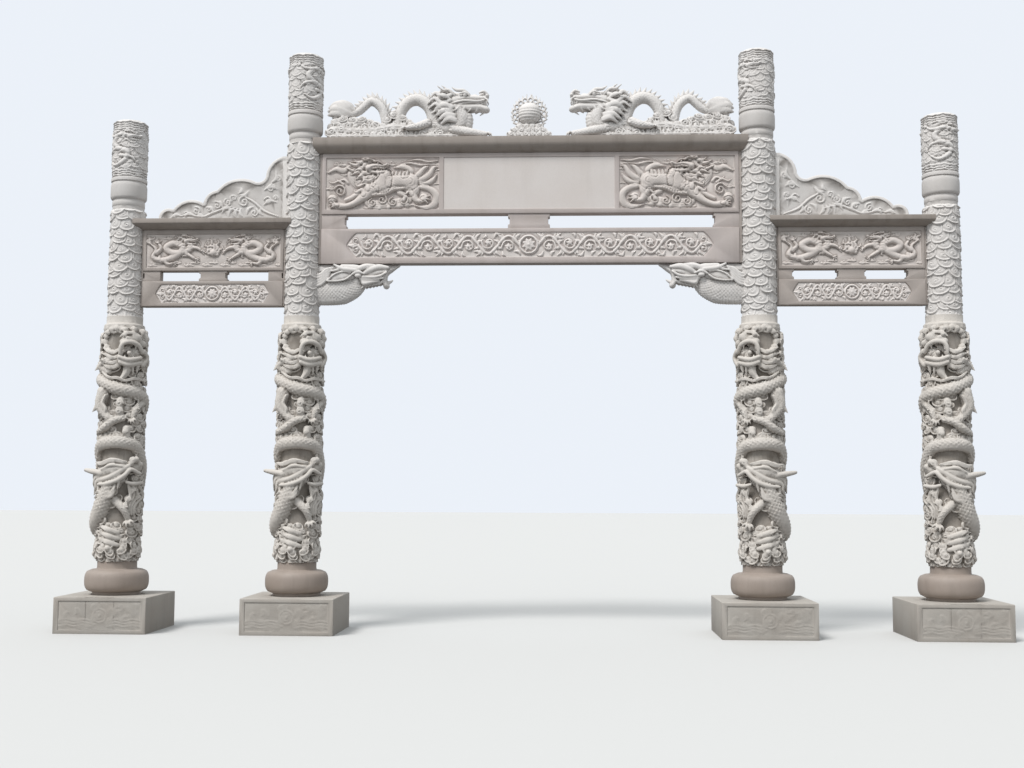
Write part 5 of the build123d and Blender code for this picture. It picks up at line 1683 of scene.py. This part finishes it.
def lower_head(clay):
    """The lower head, turned back under the arch of its own body."""
    strand(clay, [(-.25, 2.11), (-.1, 2.09), (.06, 2.06), (.22, 2)], [.07, .085, .09, .075], .265)
    strand(clay, [(-.12, 2.01), (.02, 1.965), (.16, 1.93), (.25, 1.89)], [.05, .06, .06, .045], .285)
    for u, z, radius in ((-.265, 2.2, .045), (-.295, 2.14, .042), (-.22, 2.15, .04), (.02, 2.07, .034)):
        clay.lump(facing(u, z, .315), radius, sides=8)
    front_coil(clay, -.25, 2.19, .345, .042, .015)
    strand(clay, [(-.31, 2.02), (-.23, 2.07), (-.175, 2.005), (-.08, 1.93), (.05, 1.885), (.18, 1.875)],
        [.024, .028, .03, .03, .028, .018], .345)
    strand(clay, [(-.2, 2.12), (-.13, 2.065), (-.03, 1.995), (.09, 1.945), (.2, 1.93)],
        [.03, .036, .036, .032, .02], .325)
    strand(clay, [(-.17, 2.165), (0, 2.185), (.14, 2.145), (.265, 2.165)], [.02, .042, .036, .009], .325, 5)
    strand(clay, [(-.14, 2.11), (0, 2.125), (.13, 2.07)], [.016, .026, .014], .345)
    clay.tube([(.14, -.28, 2.02), (.29, -.21, 2.045), (.415, -.12, 2.065)], [.042, .038, .024])
    for lock in (
        ((.12, 2.04), (.22, 2.03), (.28, 1.97), (.31, 1.9)),
        ((.16, 1.99), (.24, 1.96), (.27, 1.88), (.32, 1.8)),
        ((.17, 1.94), (.22, 1.9), (.23, 1.83), (.28, 1.74)),
        ((.13, 1.89), (.17, 1.86), (.18, 1.79), (.21, 1.72)),
    ):
        strand(clay, lock, [.028, .032, .028, .01], .32, 5)
    for shift in (0, .05):
        strand(clay, [(-.05, 1.85 - shift), (-.01, 1.775 - shift), (.085, 1.76 - shift),
            (.18, 1.785 - shift), (.25, 1.75 - shift)], [.018, .028, .028, .024, .01], .335, 4)
    strand(clay, [(-.1, 1.91), (-.085, 1.81)], [.022, .005], .335)
    strand(clay, [(-.05, 1.89), (-.045, 1.83)], [.017, .005], .335)
    strand(clay, [(-.32, 1.9), (-.25, 1.885), (-.185, 1.905)], [.024, .03, .02], .33)
    for u, z, radius in ((-.235, 1.8, .05), (-.28, 1.71, .045), (-.2, 1.68, .04), (.17, 1.66, .03),
            (.225, 1.64, .03)):
        clay.lump(facing(u, z, .27), (.05, .05, .045), sides=8)
        front_coil(clay, u, z, .315, radius, flip=-1)
    for k in range(4):
        lock = [(-.29 + .03 * k, 1.86), (-.31 + .03 * k, 1.74), (-.26 + .025 * k, 1.6),
            (-.26 + .02 * k, 1.46 + .02 * k)]
        strand(clay, lock, [.022, .024, .022, .009], .31, 5)


def shaft_dragons(clay):
    """Both dragons: bodies, heads, legs and crests."""
    skin = scaled(.05, .02)
    upper = [(40, 3.6), (0, 3.53), (-45, 3.47), (-90, 3.41), (-135, 3.35), (-180, 3.28), (-225, 3.215),
        (-270, 3.13), (-315, 3.085), (-360, 3.02), (-385, 2.9), (-415, 2.8), (-450, 2.74), (-495, 2.66),
        (-540, 2.56), (-600, 2.5)]
    line = [around(angle, z, coil_reach) for angle, z in upper]
    clay.tube(line, [.075, .08, .085, .088, .088, .088, .088, .08, .07, .055, .03], skin, sides=52,
        spacing=.011)
    crest = [around(angle, z + .075, coil_reach + .03) for angle, z in upper[2:14]]
    clay_fins(clay, crest, [(p[0], p[1], .25) for p in crest], .034, .055)
    lower = [(76, 1.98), (96, 1.86), (108, 1.73), (128, 1.56), (155, 1.4), (190, 1.28), (230, 1.3),
        (270, 1.48), (305, 1.74), (340, 2.06), (362, 2.24), (388, 2.38), (420, 2.425), (450, 2.435),
        (482, 2.42), (512, 2.36), (538, 2.22), (570, 2.08), (620, 2), (665, 1.86), (700, 1.62)]
    line = [around(angle, z, coil_reach) for angle, z in lower]
    clay.tube(line, [.1, .11, .118, .115, .1, .09, .085, .08, .08, .078, .078, .076, .068, .05, .03], skin,
        sides=64, spacing=.011)
    belly = [around(angle, z - .025, coil_reach + .03) for angle, z in lower[2:6]]
    clay.tube(belly, [.06, .09, .092, .07], ringed(.034, .009), sides=20, spacing=.009)
    belly = [around(angle, z - .03, coil_reach + .012) for angle, z in lower[10:17]]
    clay.tube(belly, [.05, .064, .064, .05], ringed(.034, .007), sides=20, spacing=.009)
    crest = [around(angle, z + .07, coil_reach + .02) for angle, z in lower[5:18]]
    clay_fins(clay, crest, [(p[0], p[1], .3) for p in crest], .03, .055)
    upper_head(clay)
    lower_head(clay)
    clay_leg(clay, [facing(.1, 3.36, .24), facing(.24, 3.42, .27), facing(.14, 3.5, .29)], .06,
        (-1, -.4, .1), (0, -1, .3), .11, fringe=(.09, -.02, -.02))
    clay_leg(clay, [facing(.17, 3.08, .27), facing(.2, 2.9, .3), facing(.08, 2.74, .29)], .085,
        (-1, -.2, -.5), (0, -1, .1), .1, fringe=(.11, -.02, -.05))
    for shift in (0, .045, .09):
        strand(clay, [(.12 + shift, 3.03), (.16 + shift, 2.93), (.11 + shift, 2.84), (.15 + shift, 2.76)],
            [.02, .03, .026, .008], .325, 4)
    clay_leg(clay, [facing(-.28, 2.98, .25), facing(-.24, 2.86, .29), facing(-.21, 2.74, .29)], .045,
        (-.2, -.5, -1), (0, -1, .2), .1, fringe=(-.06, -.03, .03))
    clay_leg(clay, [facing(-.02, 1.68, .25), facing(-.15, 1.56, .3), facing(-.2, 1.42, .29)], .055,
        (-.3, -.7, -1), (0, -1, .3), .12, fringe=(-.07, -.03, .06))
    clay_leg(clay, [around(200, 2.2, .25), around(215, 2.05, .3), around(205, 1.92, .29)], .06,
        around(190, -.6, 1), around(205, 0, 1), .11, fringe=(.03, .09, .04))
    clay_leg(clay, [around(290, 3.4, .25), around(275, 3.28, .3), around(290, 3.16, .29)], .06,
        around(290, -1.2, 1), around(290, .2, 1), .11, fringe=(.05, .08, .02))
    strand(clay, [(-.31, 3.24), (-.22, 3.255), (-.12, 3.225), (-.02, 3.26), (.08, 3.265), (.2, 3.34)],
        [.02, .027, .021, .028, .024, .014], .298, 4)
    clay.tube([facing(-.1, 2.74, .27), facing(.02, 2.7, .28), facing(.12, 2.62, .29),
        facing(.24, 2.56, .29)], [.04, .05, .05, .03], skin, sides=28, spacing=.011)
    for u, z, radius in ((-.065, 2.93, .05), (-.06, 2.83, .05), (-.14, 2.56, .035)):
        clay.tube([facing(u, z - .05, .25), facing(u, z + .04, .26)], .05)
        front_coil(clay, u, z, .295, radius, flip=-1)


def shaft_setting(clay, chance):
    """Core, collar, clouds on the bare wall, and rocks and waves at the foot."""
    low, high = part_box("right_inner_dragon_shaft")
    foot, top = low.z, high.z
    clay.tube([(0, 0, foot - .003), (0, 0, top + .003)], core_radius, sides=96, samples=24)
    for number in range(14):
        angle = number * 360 / 14
        out = around(angle, 0, 1)
        clay.coil(around(angle, 3.925, .247), out, (0, 0, 1), .04, .014, start=200,
            flip=1 if number % 2 else -1)
        swag = [around(angle + 13 + 26 * t, 3.875 - .02 * sin(pi * t), .25) for t in (0, .5, 1)]
        clay.tube(swag, .018, sides=8)
    clay.tube([around(a, 3.965, .238) for a in range(0, 361, 20)], .024, sides=8)
    clay.tube([around(a, 3.92, .232) for a in range(0, 361, 20)], .034, sides=8)
    for angle in range(0, 360, 22):
        z = 3.75 + .16 * sin(radians(angle))
        clay.coil(facing(.01 + .175 * cos(radians(angle)), z, .262), facing(.1 * cos(radians(angle)), 0, 1),
            (0, 0, 1), .034, .014, flip=either(chance))
    for row in range(30):
        z = 1.26 + row * .089
        for number in range(12):
            angle = (number + .5 * (row % 2) + chance.uniform(-.2, .2)) * 30
            u = -core_radius * cos(radians(angle))
            if sin(radians(angle)) > 0 and in_window(u, z, .015):
                continue
            wall_cloud(clay, angle, z + chance.uniform(-.02, .02), chance.uniform(.066, .09), chance)
    for z, reach, count in ((.915, .25, 13), (.97, .275, 13), (1.03, .288, 12), (1.09, .284, 12),
            (1.15, .275, 12), (1.21, .262, 12)):
        for number in range(count):
            angle = (number + chance.uniform(-.3, .3)) * 360 / count + 9000 * z
            at, out = around(angle, z + chance.uniform(-.015, .015), reach), around(angle, 0, 1)
            clay.lump(around(angle, z, reach - .045), (.06, .06, .05), sides=8)
            clay.cloud(at, out, chance.uniform(.05, .078), either(chance), chance.uniform(-.9, .9), .0105)
    clay.tube([(0, 0, foot - .002), (0, 0, 1.2)], [.236, .262, .255], sides=48, samples=12)
    clay.lump(facing(.03, 1.06, .3), .035)
    clay.lump(facing(.27, .98, .28), .045)
    for lean, z in ((0, 1.3), (.04, 1.22), (-.02, 1.14)):
        clay.tube([facing(-.08, z - .04, .27), facing(.04, z, .29), facing(.18, z + .05, .27)],
            [.03, .042, .014], combed(7, .008))


def make_dragon_shafts():
    """One shaft is modelled and melted. The others are copies, mirrored on the left."""
    chance = np.random.default_rng(4)
    clay = Clay()
    shaft_setting(clay, chance)
    shaft_dragons(clay)
    model = clay.melt("dragon_carving", shaft_voxel, shaft_triangles)
    low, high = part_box("right_inner_dragon_shaft")
    points = np.empty(len(model.data.vertices) * 3)
    model.data.vertices.foreach_get("co", points)
    points = points.reshape(-1, 3)
    points[:, 2] = np.clip(points[:, 2], low.z, high.z)
    model.data.vertices.foreach_set("co", points.ravel())
    for column in columns:
        low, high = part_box(f"{column}_cloud_shaft")
        way = 1 if column.startswith("right") else -1
        axis = (low.x + high.x) / 2

        def moved(points):
            points[:, 0] = axis + way * points[:, 0]
            return points, way < 0

        piece = copy_piece(model, f"{column}_dragon_carving", moved)
        finish_piece(piece, "dragon_granite", [f"{column}_dragon_shaft"], full_depth=.011)
    bpy.data.objects.remove(model)
    return piece


piece = make_dragon_shafts()
print("dragon shafts of", triangles(piece), "triangles")

# %% [markdown]
# On the great cornice two dragons face a flaming pearl. Places are given as the distance
# behind the nose and the height over the cornice. The body dives into the clouds and
# arches out of them twice, with a crest of swept-back fins, and ends in a flame-like tail.

# %% Ridge dragons
ridge_triangles = 44_000
ridge_voxel = .006


def ridge_clouds(clay, start, end, depth, top, chance):
    """Overlapping clouds of uneven size on both faces of the base."""
    for side in (-1, 1):
        for row, z in enumerate(np.arange(.045, top, .066)):
            place = start + .06 * (row % 2)
            while place < end:
                size = chance.uniform(.07, .1)
                at = (place, side * (depth - .012 * row), z + chance.uniform(-.016, .016))
                clay.cloud(at, (0, side, 0), size, either(chance), chance.uniform(-.4, .4), .011)
                place += size * chance.uniform(1.2, 1.6)


def ridge_dragon(clay):
    """The whole dragon, nose at x = 0, tail towards +x and its foot at z = 0."""
    chance = np.random.default_rng(9)
    reach = ridge_length
    base = [(.45, .1), (.9, .11), (1.25, .14), (1.6, .1), (reach - .13, .12)]
    for height in (.05, .12, .15):
        clay.tube([(x, 0, z * height / .12) for x, z in base], .09, flat=.6)
    clay.tube([(.3, 0, .04), (reach - .12, 0, .04)], .11, flat=.4)
    clay.tube([(1.52, 0, .19), (1.8, 0, .22), (reach - .12, 0, .21)], [.06, .07, .06])
    ridge_clouds(clay, .5, reach - .09, .085, .23, chance)
    for place, height, size in (
        (1.08, .24, .06), (1.16, .3, .07), (1.27, .33, .075), (1.36, .27, .06), (1.22, .24, .06),
        (reach - .13, .25, .06), (.62, .25, .06), (1.6, .24, .07), (1.7, .28, .07), (1.82, .27, .075),
        (1.95, .29, .07), (2.05, .26, .06),
    ):
        clay.lump((place, 0, height - .01), (size, .06, .6 * size))
        for side in (-1, 1):
            clay.cloud((place, side * .055, height), (0, side, 0), size, either(chance),
                chance.uniform(-.3, .3), .0085)
    skin = scaled(.042, .014)
    neck = [(.55, 0, .47), (.44, 0, .4), (.37, 0, .3), (.4, 0, .19), (.55, 0, .15), (.7, 0, .2)]
    clay.tube(neck, [.09, .115, .12, .12, .11, .09], skin, sides=76, spacing=.01, up=(0, 1, 0))
    chest = [(.36, 0, .38), (.3, 0, .3), (.31, 0, .19), (.36, 0, .1)]
    clay.tube(chest, [.06, .088, .092, .06], ringed(.036, .01), sides=20, spacing=.009, up=(0, 1, 0))
    arch = [(.735, 0, .12), (.745, 0, .3), (.8, 0, .45), (.9, 0, .535), (.985, 0, .553), (1.08, 0, .52),
        (1.165, 0, .42), (1.2, 0, .3), (1.21, 0, .14)]
    clay.tube(arch, [.075, .078, .08, .078, .076, .074, .072, .07, .066], skin, sides=52, spacing=.01,
        up=(0, 1, 0))
    tail = [(1.37, 0, .12), (1.385, 0, .29), (1.43, 0, .43), (1.52, 0, .52), (1.6, 0, .53), (1.68, 0, .46),
        (1.75, 0, .4), (1.85, 0, .365), (1.98, 0, .375)]
    clay.tube(tail, [.062, .062, .06, .058, .054, .052, .05, .048, .03], skin, sides=44, spacing=.01,
        up=(0, 1, 0))
    for line, middle, rise in ((arch[1:8], (.97, .3), .072), (tail[1:8], (1.58, .3), .062)):
        outer = []
        for (x, _, z) in line:
            away = np.array((x - middle[0], z - middle[1]))
            away /= np.linalg.norm(away)
            outer.append((x + .066 * away[0], 0, z + .066 * away[1]))
        away = [(x - middle[0], 0, z - middle[1]) for x, _, z in outer]
        clay_fins(clay, outer, away, rise, .06, sweep=.95, thick=.02)
    for side in (-1, 1):
        for line, radius in (
            ([(1.82, .02, .38), (1.93, .03, .47), (2.05, .03, .49), (2.15, .02, .45)], .044),
            ([(1.84, .03, .37), (1.98, .04, .42), (2.08, .04, .43), (2.16, .02, .4)], .044),
            ([(1.86, .03, .36), (1.98, .04, .37), (2.08, .04, .37), (2.16, .02, .35)], .04),
            ([(1.8, .02, .39), (1.86, .03, .47), (1.96, .03, .52), (2.08, .02, .525)], .034),
            ([(1.8, .02, .37), (1.9, .03, .34), (2, .03, .33), (2.1, .02, .31)], .026),
        ):
            clay.tube([(min(x, reach - .02), side * y, z) for x, y, z in line],
                [.8 * radius, 1.45 * radius, 1.2 * radius, .01], combed(6, .005), flat=.6, up=(0, 1, 0))
    for side, forward in ((1, 0), (-1, .09)):
        leg = [(.47, side * .06, .125), (.36 - forward, side * .1, .08), (.24 - forward, side * .105, .06),
            (.14 - forward, side * .1, .05)]
        clay.tube(leg, [.07, .056, .042, .036], scaled(.04, .018), sides=48, spacing=.01)
        clay_claw(clay, (.13 - forward, side * .1, .05), (-1, 0, -.1), (0, 0, 1), .105)
        leg = [(.82, side * .07, .21), (.94, side * .11, .16), (1.07, side * .125, .14)]
        clay.tube(leg, [.058, .046, .032], scaled(.04, .018), sides=48, spacing=.01)
        clay_claw(clay, (1.09, side * .125, .135), (1, .1 * side, -.2), (0, 0, 1), .085)
        for x, z, dx, dz in ((.5, .42, .2, -.02), (.5, .36, .2, -.06), (.47, .3, .2, -.06),
                (.45, .24, .17, -.04)):
            clay.tube([(x, side * .1, z), (x + .5 * dx, side * .13, z + .5 * dz + .03),
                (x + dx, side * .11, z + dz)], [.045, .044, .02], combed(6, .007))
    clay.tube([(.3, 0, .1), (.16, 0, .06), (.05, 0, .03)], [.09, .06, .02], flat=.5)
    clay.to = placed((.545, 0, .475), (-1, 0, .04), (0, 0, 1), (.53, .62, .5))
    clay_head(clay)


def make_ridge_dragons():
    """The right dragon is modelled, and the left one is its mirror image."""
    clay = Clay()
    ridge_dragon(clay)
    model = clay.melt("ridge_carving", ridge_voxel, ridge_triangles)
    for side, way in (("left", -1), ("right", 1)):
        low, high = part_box(f"{side}_ridge_dragon")
        nose = min(abs(low.x), abs(high.x))

        def moved(points):
            points[:, 0] = way * np.minimum(nose + points[:, 0], nose + ridge_length)
            points[:, 2] = low.z + np.maximum(points[:, 2], 0)
            return points, way < 0

        piece = copy_piece(model, f"{side}_ridge_carving", moved)
        finish_piece(piece, "carved_granite", [f"{side}_ridge_dragon"], full_depth=.009)
    bpy.data.objects.remove(model)
    return piece


ridge_low, ridge_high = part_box("right_ridge_dragon")
ridge_length = ridge_high.x - ridge_low.x
piece = make_ridge_dragons()
print("ridge dragons of", triangles(piece), "triangles")

# %% [markdown]
# Under each end of the great lower beam a dragon's head and neck spring from the column.
# Their places are the distance from the wall and the height over the bracket's foot.

# %% Dragon brackets
bracket_triangles, bracket_voxel = 22_000, .006


def bracket_dragon(clay):
    """Head and neck, the wall at x = 0, the nose towards +x and the beam at z = 0."""
    neck = [(-.04, 0, -.335), (.16, 0, -.335), (.32, 0, -.325), (.46, 0, -.275), (.57, 0, -.2)]
    clay.tube(neck, [.2, .2, .195, .16, .1], scaled(.046, .028), flat=.44, up=(0, 1, 0), sides=132,
        spacing=.009)
    belly = [(-.04, 0, -.46), (.22, 0, -.46), (.38, 0, -.425), (.5, 0, -.34), (.58, 0, -.26)]
    clay.tube(belly, [.075, .075, .07, .06, .04], ringed(.036, .011), flat=.95, up=(0, 1, 0), sides=24,
        spacing=.009)
    clay.tube([(-.04, 0, -.07), (.5, 0, -.06), (.92, 0, -.03)], [.07, .07, .03], up=(0, 1, 0), flat=.9)
    clay.tube([(.48, 0, -.13), (.66, 0, -.115), (.8, 0, -.1), (.92, 0, -.075), (1.03, 0, -.03)],
        [.1, .1, .085, .06, .025], flat=.85, up=(0, 1, 0))
    clay.tube([(.5, 0, -.22), (.62, 0, -.235), (.74, 0, -.215), (.86, 0, -.2)], [.085, .06, .045, .035],
        flat=.9, up=(0, 1, 0))
    nose = [(1.065, 0, -.02), (.965, 0, -.07), (.9, 0, -.12), (.872, 0, -.18), (.876, 0, -.24),
        (.895, 0, -.285)]
    clay.tube(nose, [.014, .028, .034, .04, .038, .036], flat=1.8, up=(0, 1, 0))
    clay.lump((.897, 0, -.287), (.044, .05, .044))
    clay.tube([(.9, 0, -.25), (.945, 0, -.235), (.975, 0, -.215)], [.03, .02, .012])
    for side in (-1, 1):

        def part(points, radius, y=.1, texture=None, flat=1):
            clay.tube([(x, side * y, z) for x, z in points], radius, texture, flat, (0, 1, 0), sides=14)

        part([(.92, -.055), (.8, -.05), (.68, -.09), (.59, -.145)], [.024, .046, .05, .028], .075)
        part([(.9, -.1), (.8, -.112), (.7, -.138), (.61, -.155)], [.02, .036, .036, .022], .066)
        part([(.6, -.07), (.48, -.06), (.32, -.04)], [.04, .055, .04], .062)
        clay.lump((.31, side * .066, -.165), (.19, .038, .06))
        part([(.78, -.2), (.66, -.225), (.57, -.2)], [.025, .034, .03], .07)
        part([(.74, -.025), (.62, -.045), (.48, -.09)], [.02, .045, .034], .08, scaled(.03, .008))
        part([(.905, -.12), (.82, -.167), (.705, -.184), (.6, -.174)], [.013, .019, .02, .013])
        part([(.86, -.195), (.74, -.212), (.64, -.205), (.57, -.18)], [.013, .018, .018, .012], .09)
        part([(.8, -.23), (.7, -.245), (.615, -.262), (.58, -.215)], [.018, .03, .036, .02], .075)
        for k in range(6):
            part([(.85 - .045 * k, -.235 - .007 * k), (.805 - .045 * k, -.275 - .009 * k)], [.021, .009],
                .055)
        clay.lump((.53, side * .1, -.162), (.046, .03, .032))
        part([(.61, -.14), (.53, -.112), (.45, -.15)], [.012, .023, .014], .11)
        part([(.5, -.09), (.38, -.08), (.3, -.062), (.21, -.012)], [.03, .034, .03, .01])
        part([(.31, -.065), (.24, -.09), (.165, -.1)], [.024, .018, .008])
        part([(.43, -.15), (.33, -.165), (.22, -.19), (.13, -.23)], [.02, .055, .05, .01], .09,
            combed(7, .006), .45)
        part([(.43, -.118), (.33, -.11), (.22, -.145), (.13, -.225)], .012, .11)
        part([(.43, -.17), (.36, -.215), (.25, -.235), (.13, -.235)], .012, .11)
        for k in range(5):
            lock = [(.2 - .01 * k, -.05 - .015 * k), (.11, -.08 - .032 * k), (.04, -.14 - .034 * k),
                (-.03, -.155 - .036 * k)]
            part(lock, [.012, .023, .024, .018], .09, combed(5, .005))


def make_brackets():
    """The right bracket is modelled, and the left one is its mirror image."""
    _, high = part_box("right_dragon_bracket")
    clay = Clay()
    bracket_dragon(clay)
    model = clay.melt("bracket_carving", bracket_voxel, bracket_triangles)
    for side, way in (("left", -1), ("right", 1)):

        def moved(points):
            points[:, 0] = way * (bracket_wall - points[:, 0])
            points[:, 2] = high.z + np.minimum(points[:, 2], 0)
            return points, way > 0

        piece = copy_piece(model, f"{side}_bracket_carving", moved)
        finish_piece(piece, "carved_granite", [f"{side}_dragon_bracket"], full_depth=.008)
    bpy.data.objects.remove(model)
    return piece


shaft_low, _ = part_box("right_inner_cloud_shaft")
bracket_wall = shaft_low.x + .004
piece = make_brackets()
print("brackets of", triangles(piece), "triangles")

# %% [markdown]
# The pearl is a banded ball on clouds, with flames that lick round it.

# %% Flaming pearl
pearl_low, pearl_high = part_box("flaming_pearl")
pearl_ball_radius, pearl_rise = .158, .338
pearl_triangles, pearl_voxel = 15_000, .0055


def flaming_pearl(clay):
    """Ball, flames and clouds, with the foot at z = 0."""
    chance = np.random.default_rng(2)
    bands = []
    for step in range(81):
        angle = -pi / 2 + pi * (step + .5) / 81
        rise = pearl_ball_radius * sin(angle)
        groove = .016 * (1 - abs(sin(pi * rise / .039)) ** .6) * (rise < .07)
        radius = (pearl_ball_radius - groove) * cos(angle)
        bands.append([(radius * cos(a), radius * sin(a), pearl_rise + rise)
            for a in np.linspace(0, 2 * pi, 48, endpoint=False)])
    clay.rings(np.array(bands))
    clay.tube([(0, 0, .04), (0, 0, .2)], [.09, .07], sides=16)
    for phase in (0, pi):
        wavy = []
        for k in range(73):
            angle = radians(-58 + 296 * k / 72)
            reach = .198 + .032 * cos(pi * k / 5 + phase)
            wavy.append((reach * cos(angle), 0, pearl_rise + reach * sin(angle)))
        clay.tube(wavy, .011, flat=2, up=(0, 1, 0), samples=220)
    for number in range(25):
        angle = radians(-58 + 296 * number / 24)
        lean = .1 if angle < pi / 2 else -.1
        reach = .25 + .03 * max(0, sin(angle)) ** 2
        root = (.218 * cos(angle), 0, pearl_rise + .218 * sin(angle))
        tip = (reach * cos(angle + lean), 0, pearl_rise + reach * sin(angle + lean))
        clay.tube([root, tip], [.015, .005], flat=1.3, up=(0, 1, 0))
    half = pearl_high.x - .05
    clay.tube([(-half, 0, .05), (0, 0, .06), (half, 0, .05)], [.05, .07, .05], flat=1.3, up=(0, 1, 0))
    for side in (-1, 1):
        for row, (top, width) in enumerate(((.045, half), (.1, .8 * half), (.155, .5 * half))):
            for place in np.linspace(-width, width, 6 - row):
                clay.lump((place, side * .05, top - .02), (.055, .05, .045))
                clay.cloud((place, side * (.105 - .01 * row), top), (0, side, 0), .066, either(chance),
                    chance.uniform(-.4, .4), .0085)


clay = Clay()
flaming_pearl(clay)
piece = clay.melt("pearl_carving", pearl_voxel, pearl_triangles)
piece.data.transform(Matrix.Translation((0, 0, pearl_low.z)))
finish_piece(piece, "carved_granite", ["flaming_pearl"], full_depth=.006)
print(piece.name, triangles(piece))

# %% [markdown]
# The last cell counts the pieces that are shown and their triangles.

# %% Count the pieces
shown = [o for o in scene.objects if o.type == "MESH" and not o.hide_render]
shown = [o for o in shown if "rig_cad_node" not in o and not o.get("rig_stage")]
print("pieces:", len(shown), "triangles:", sum(triangles(o) for o in shown))
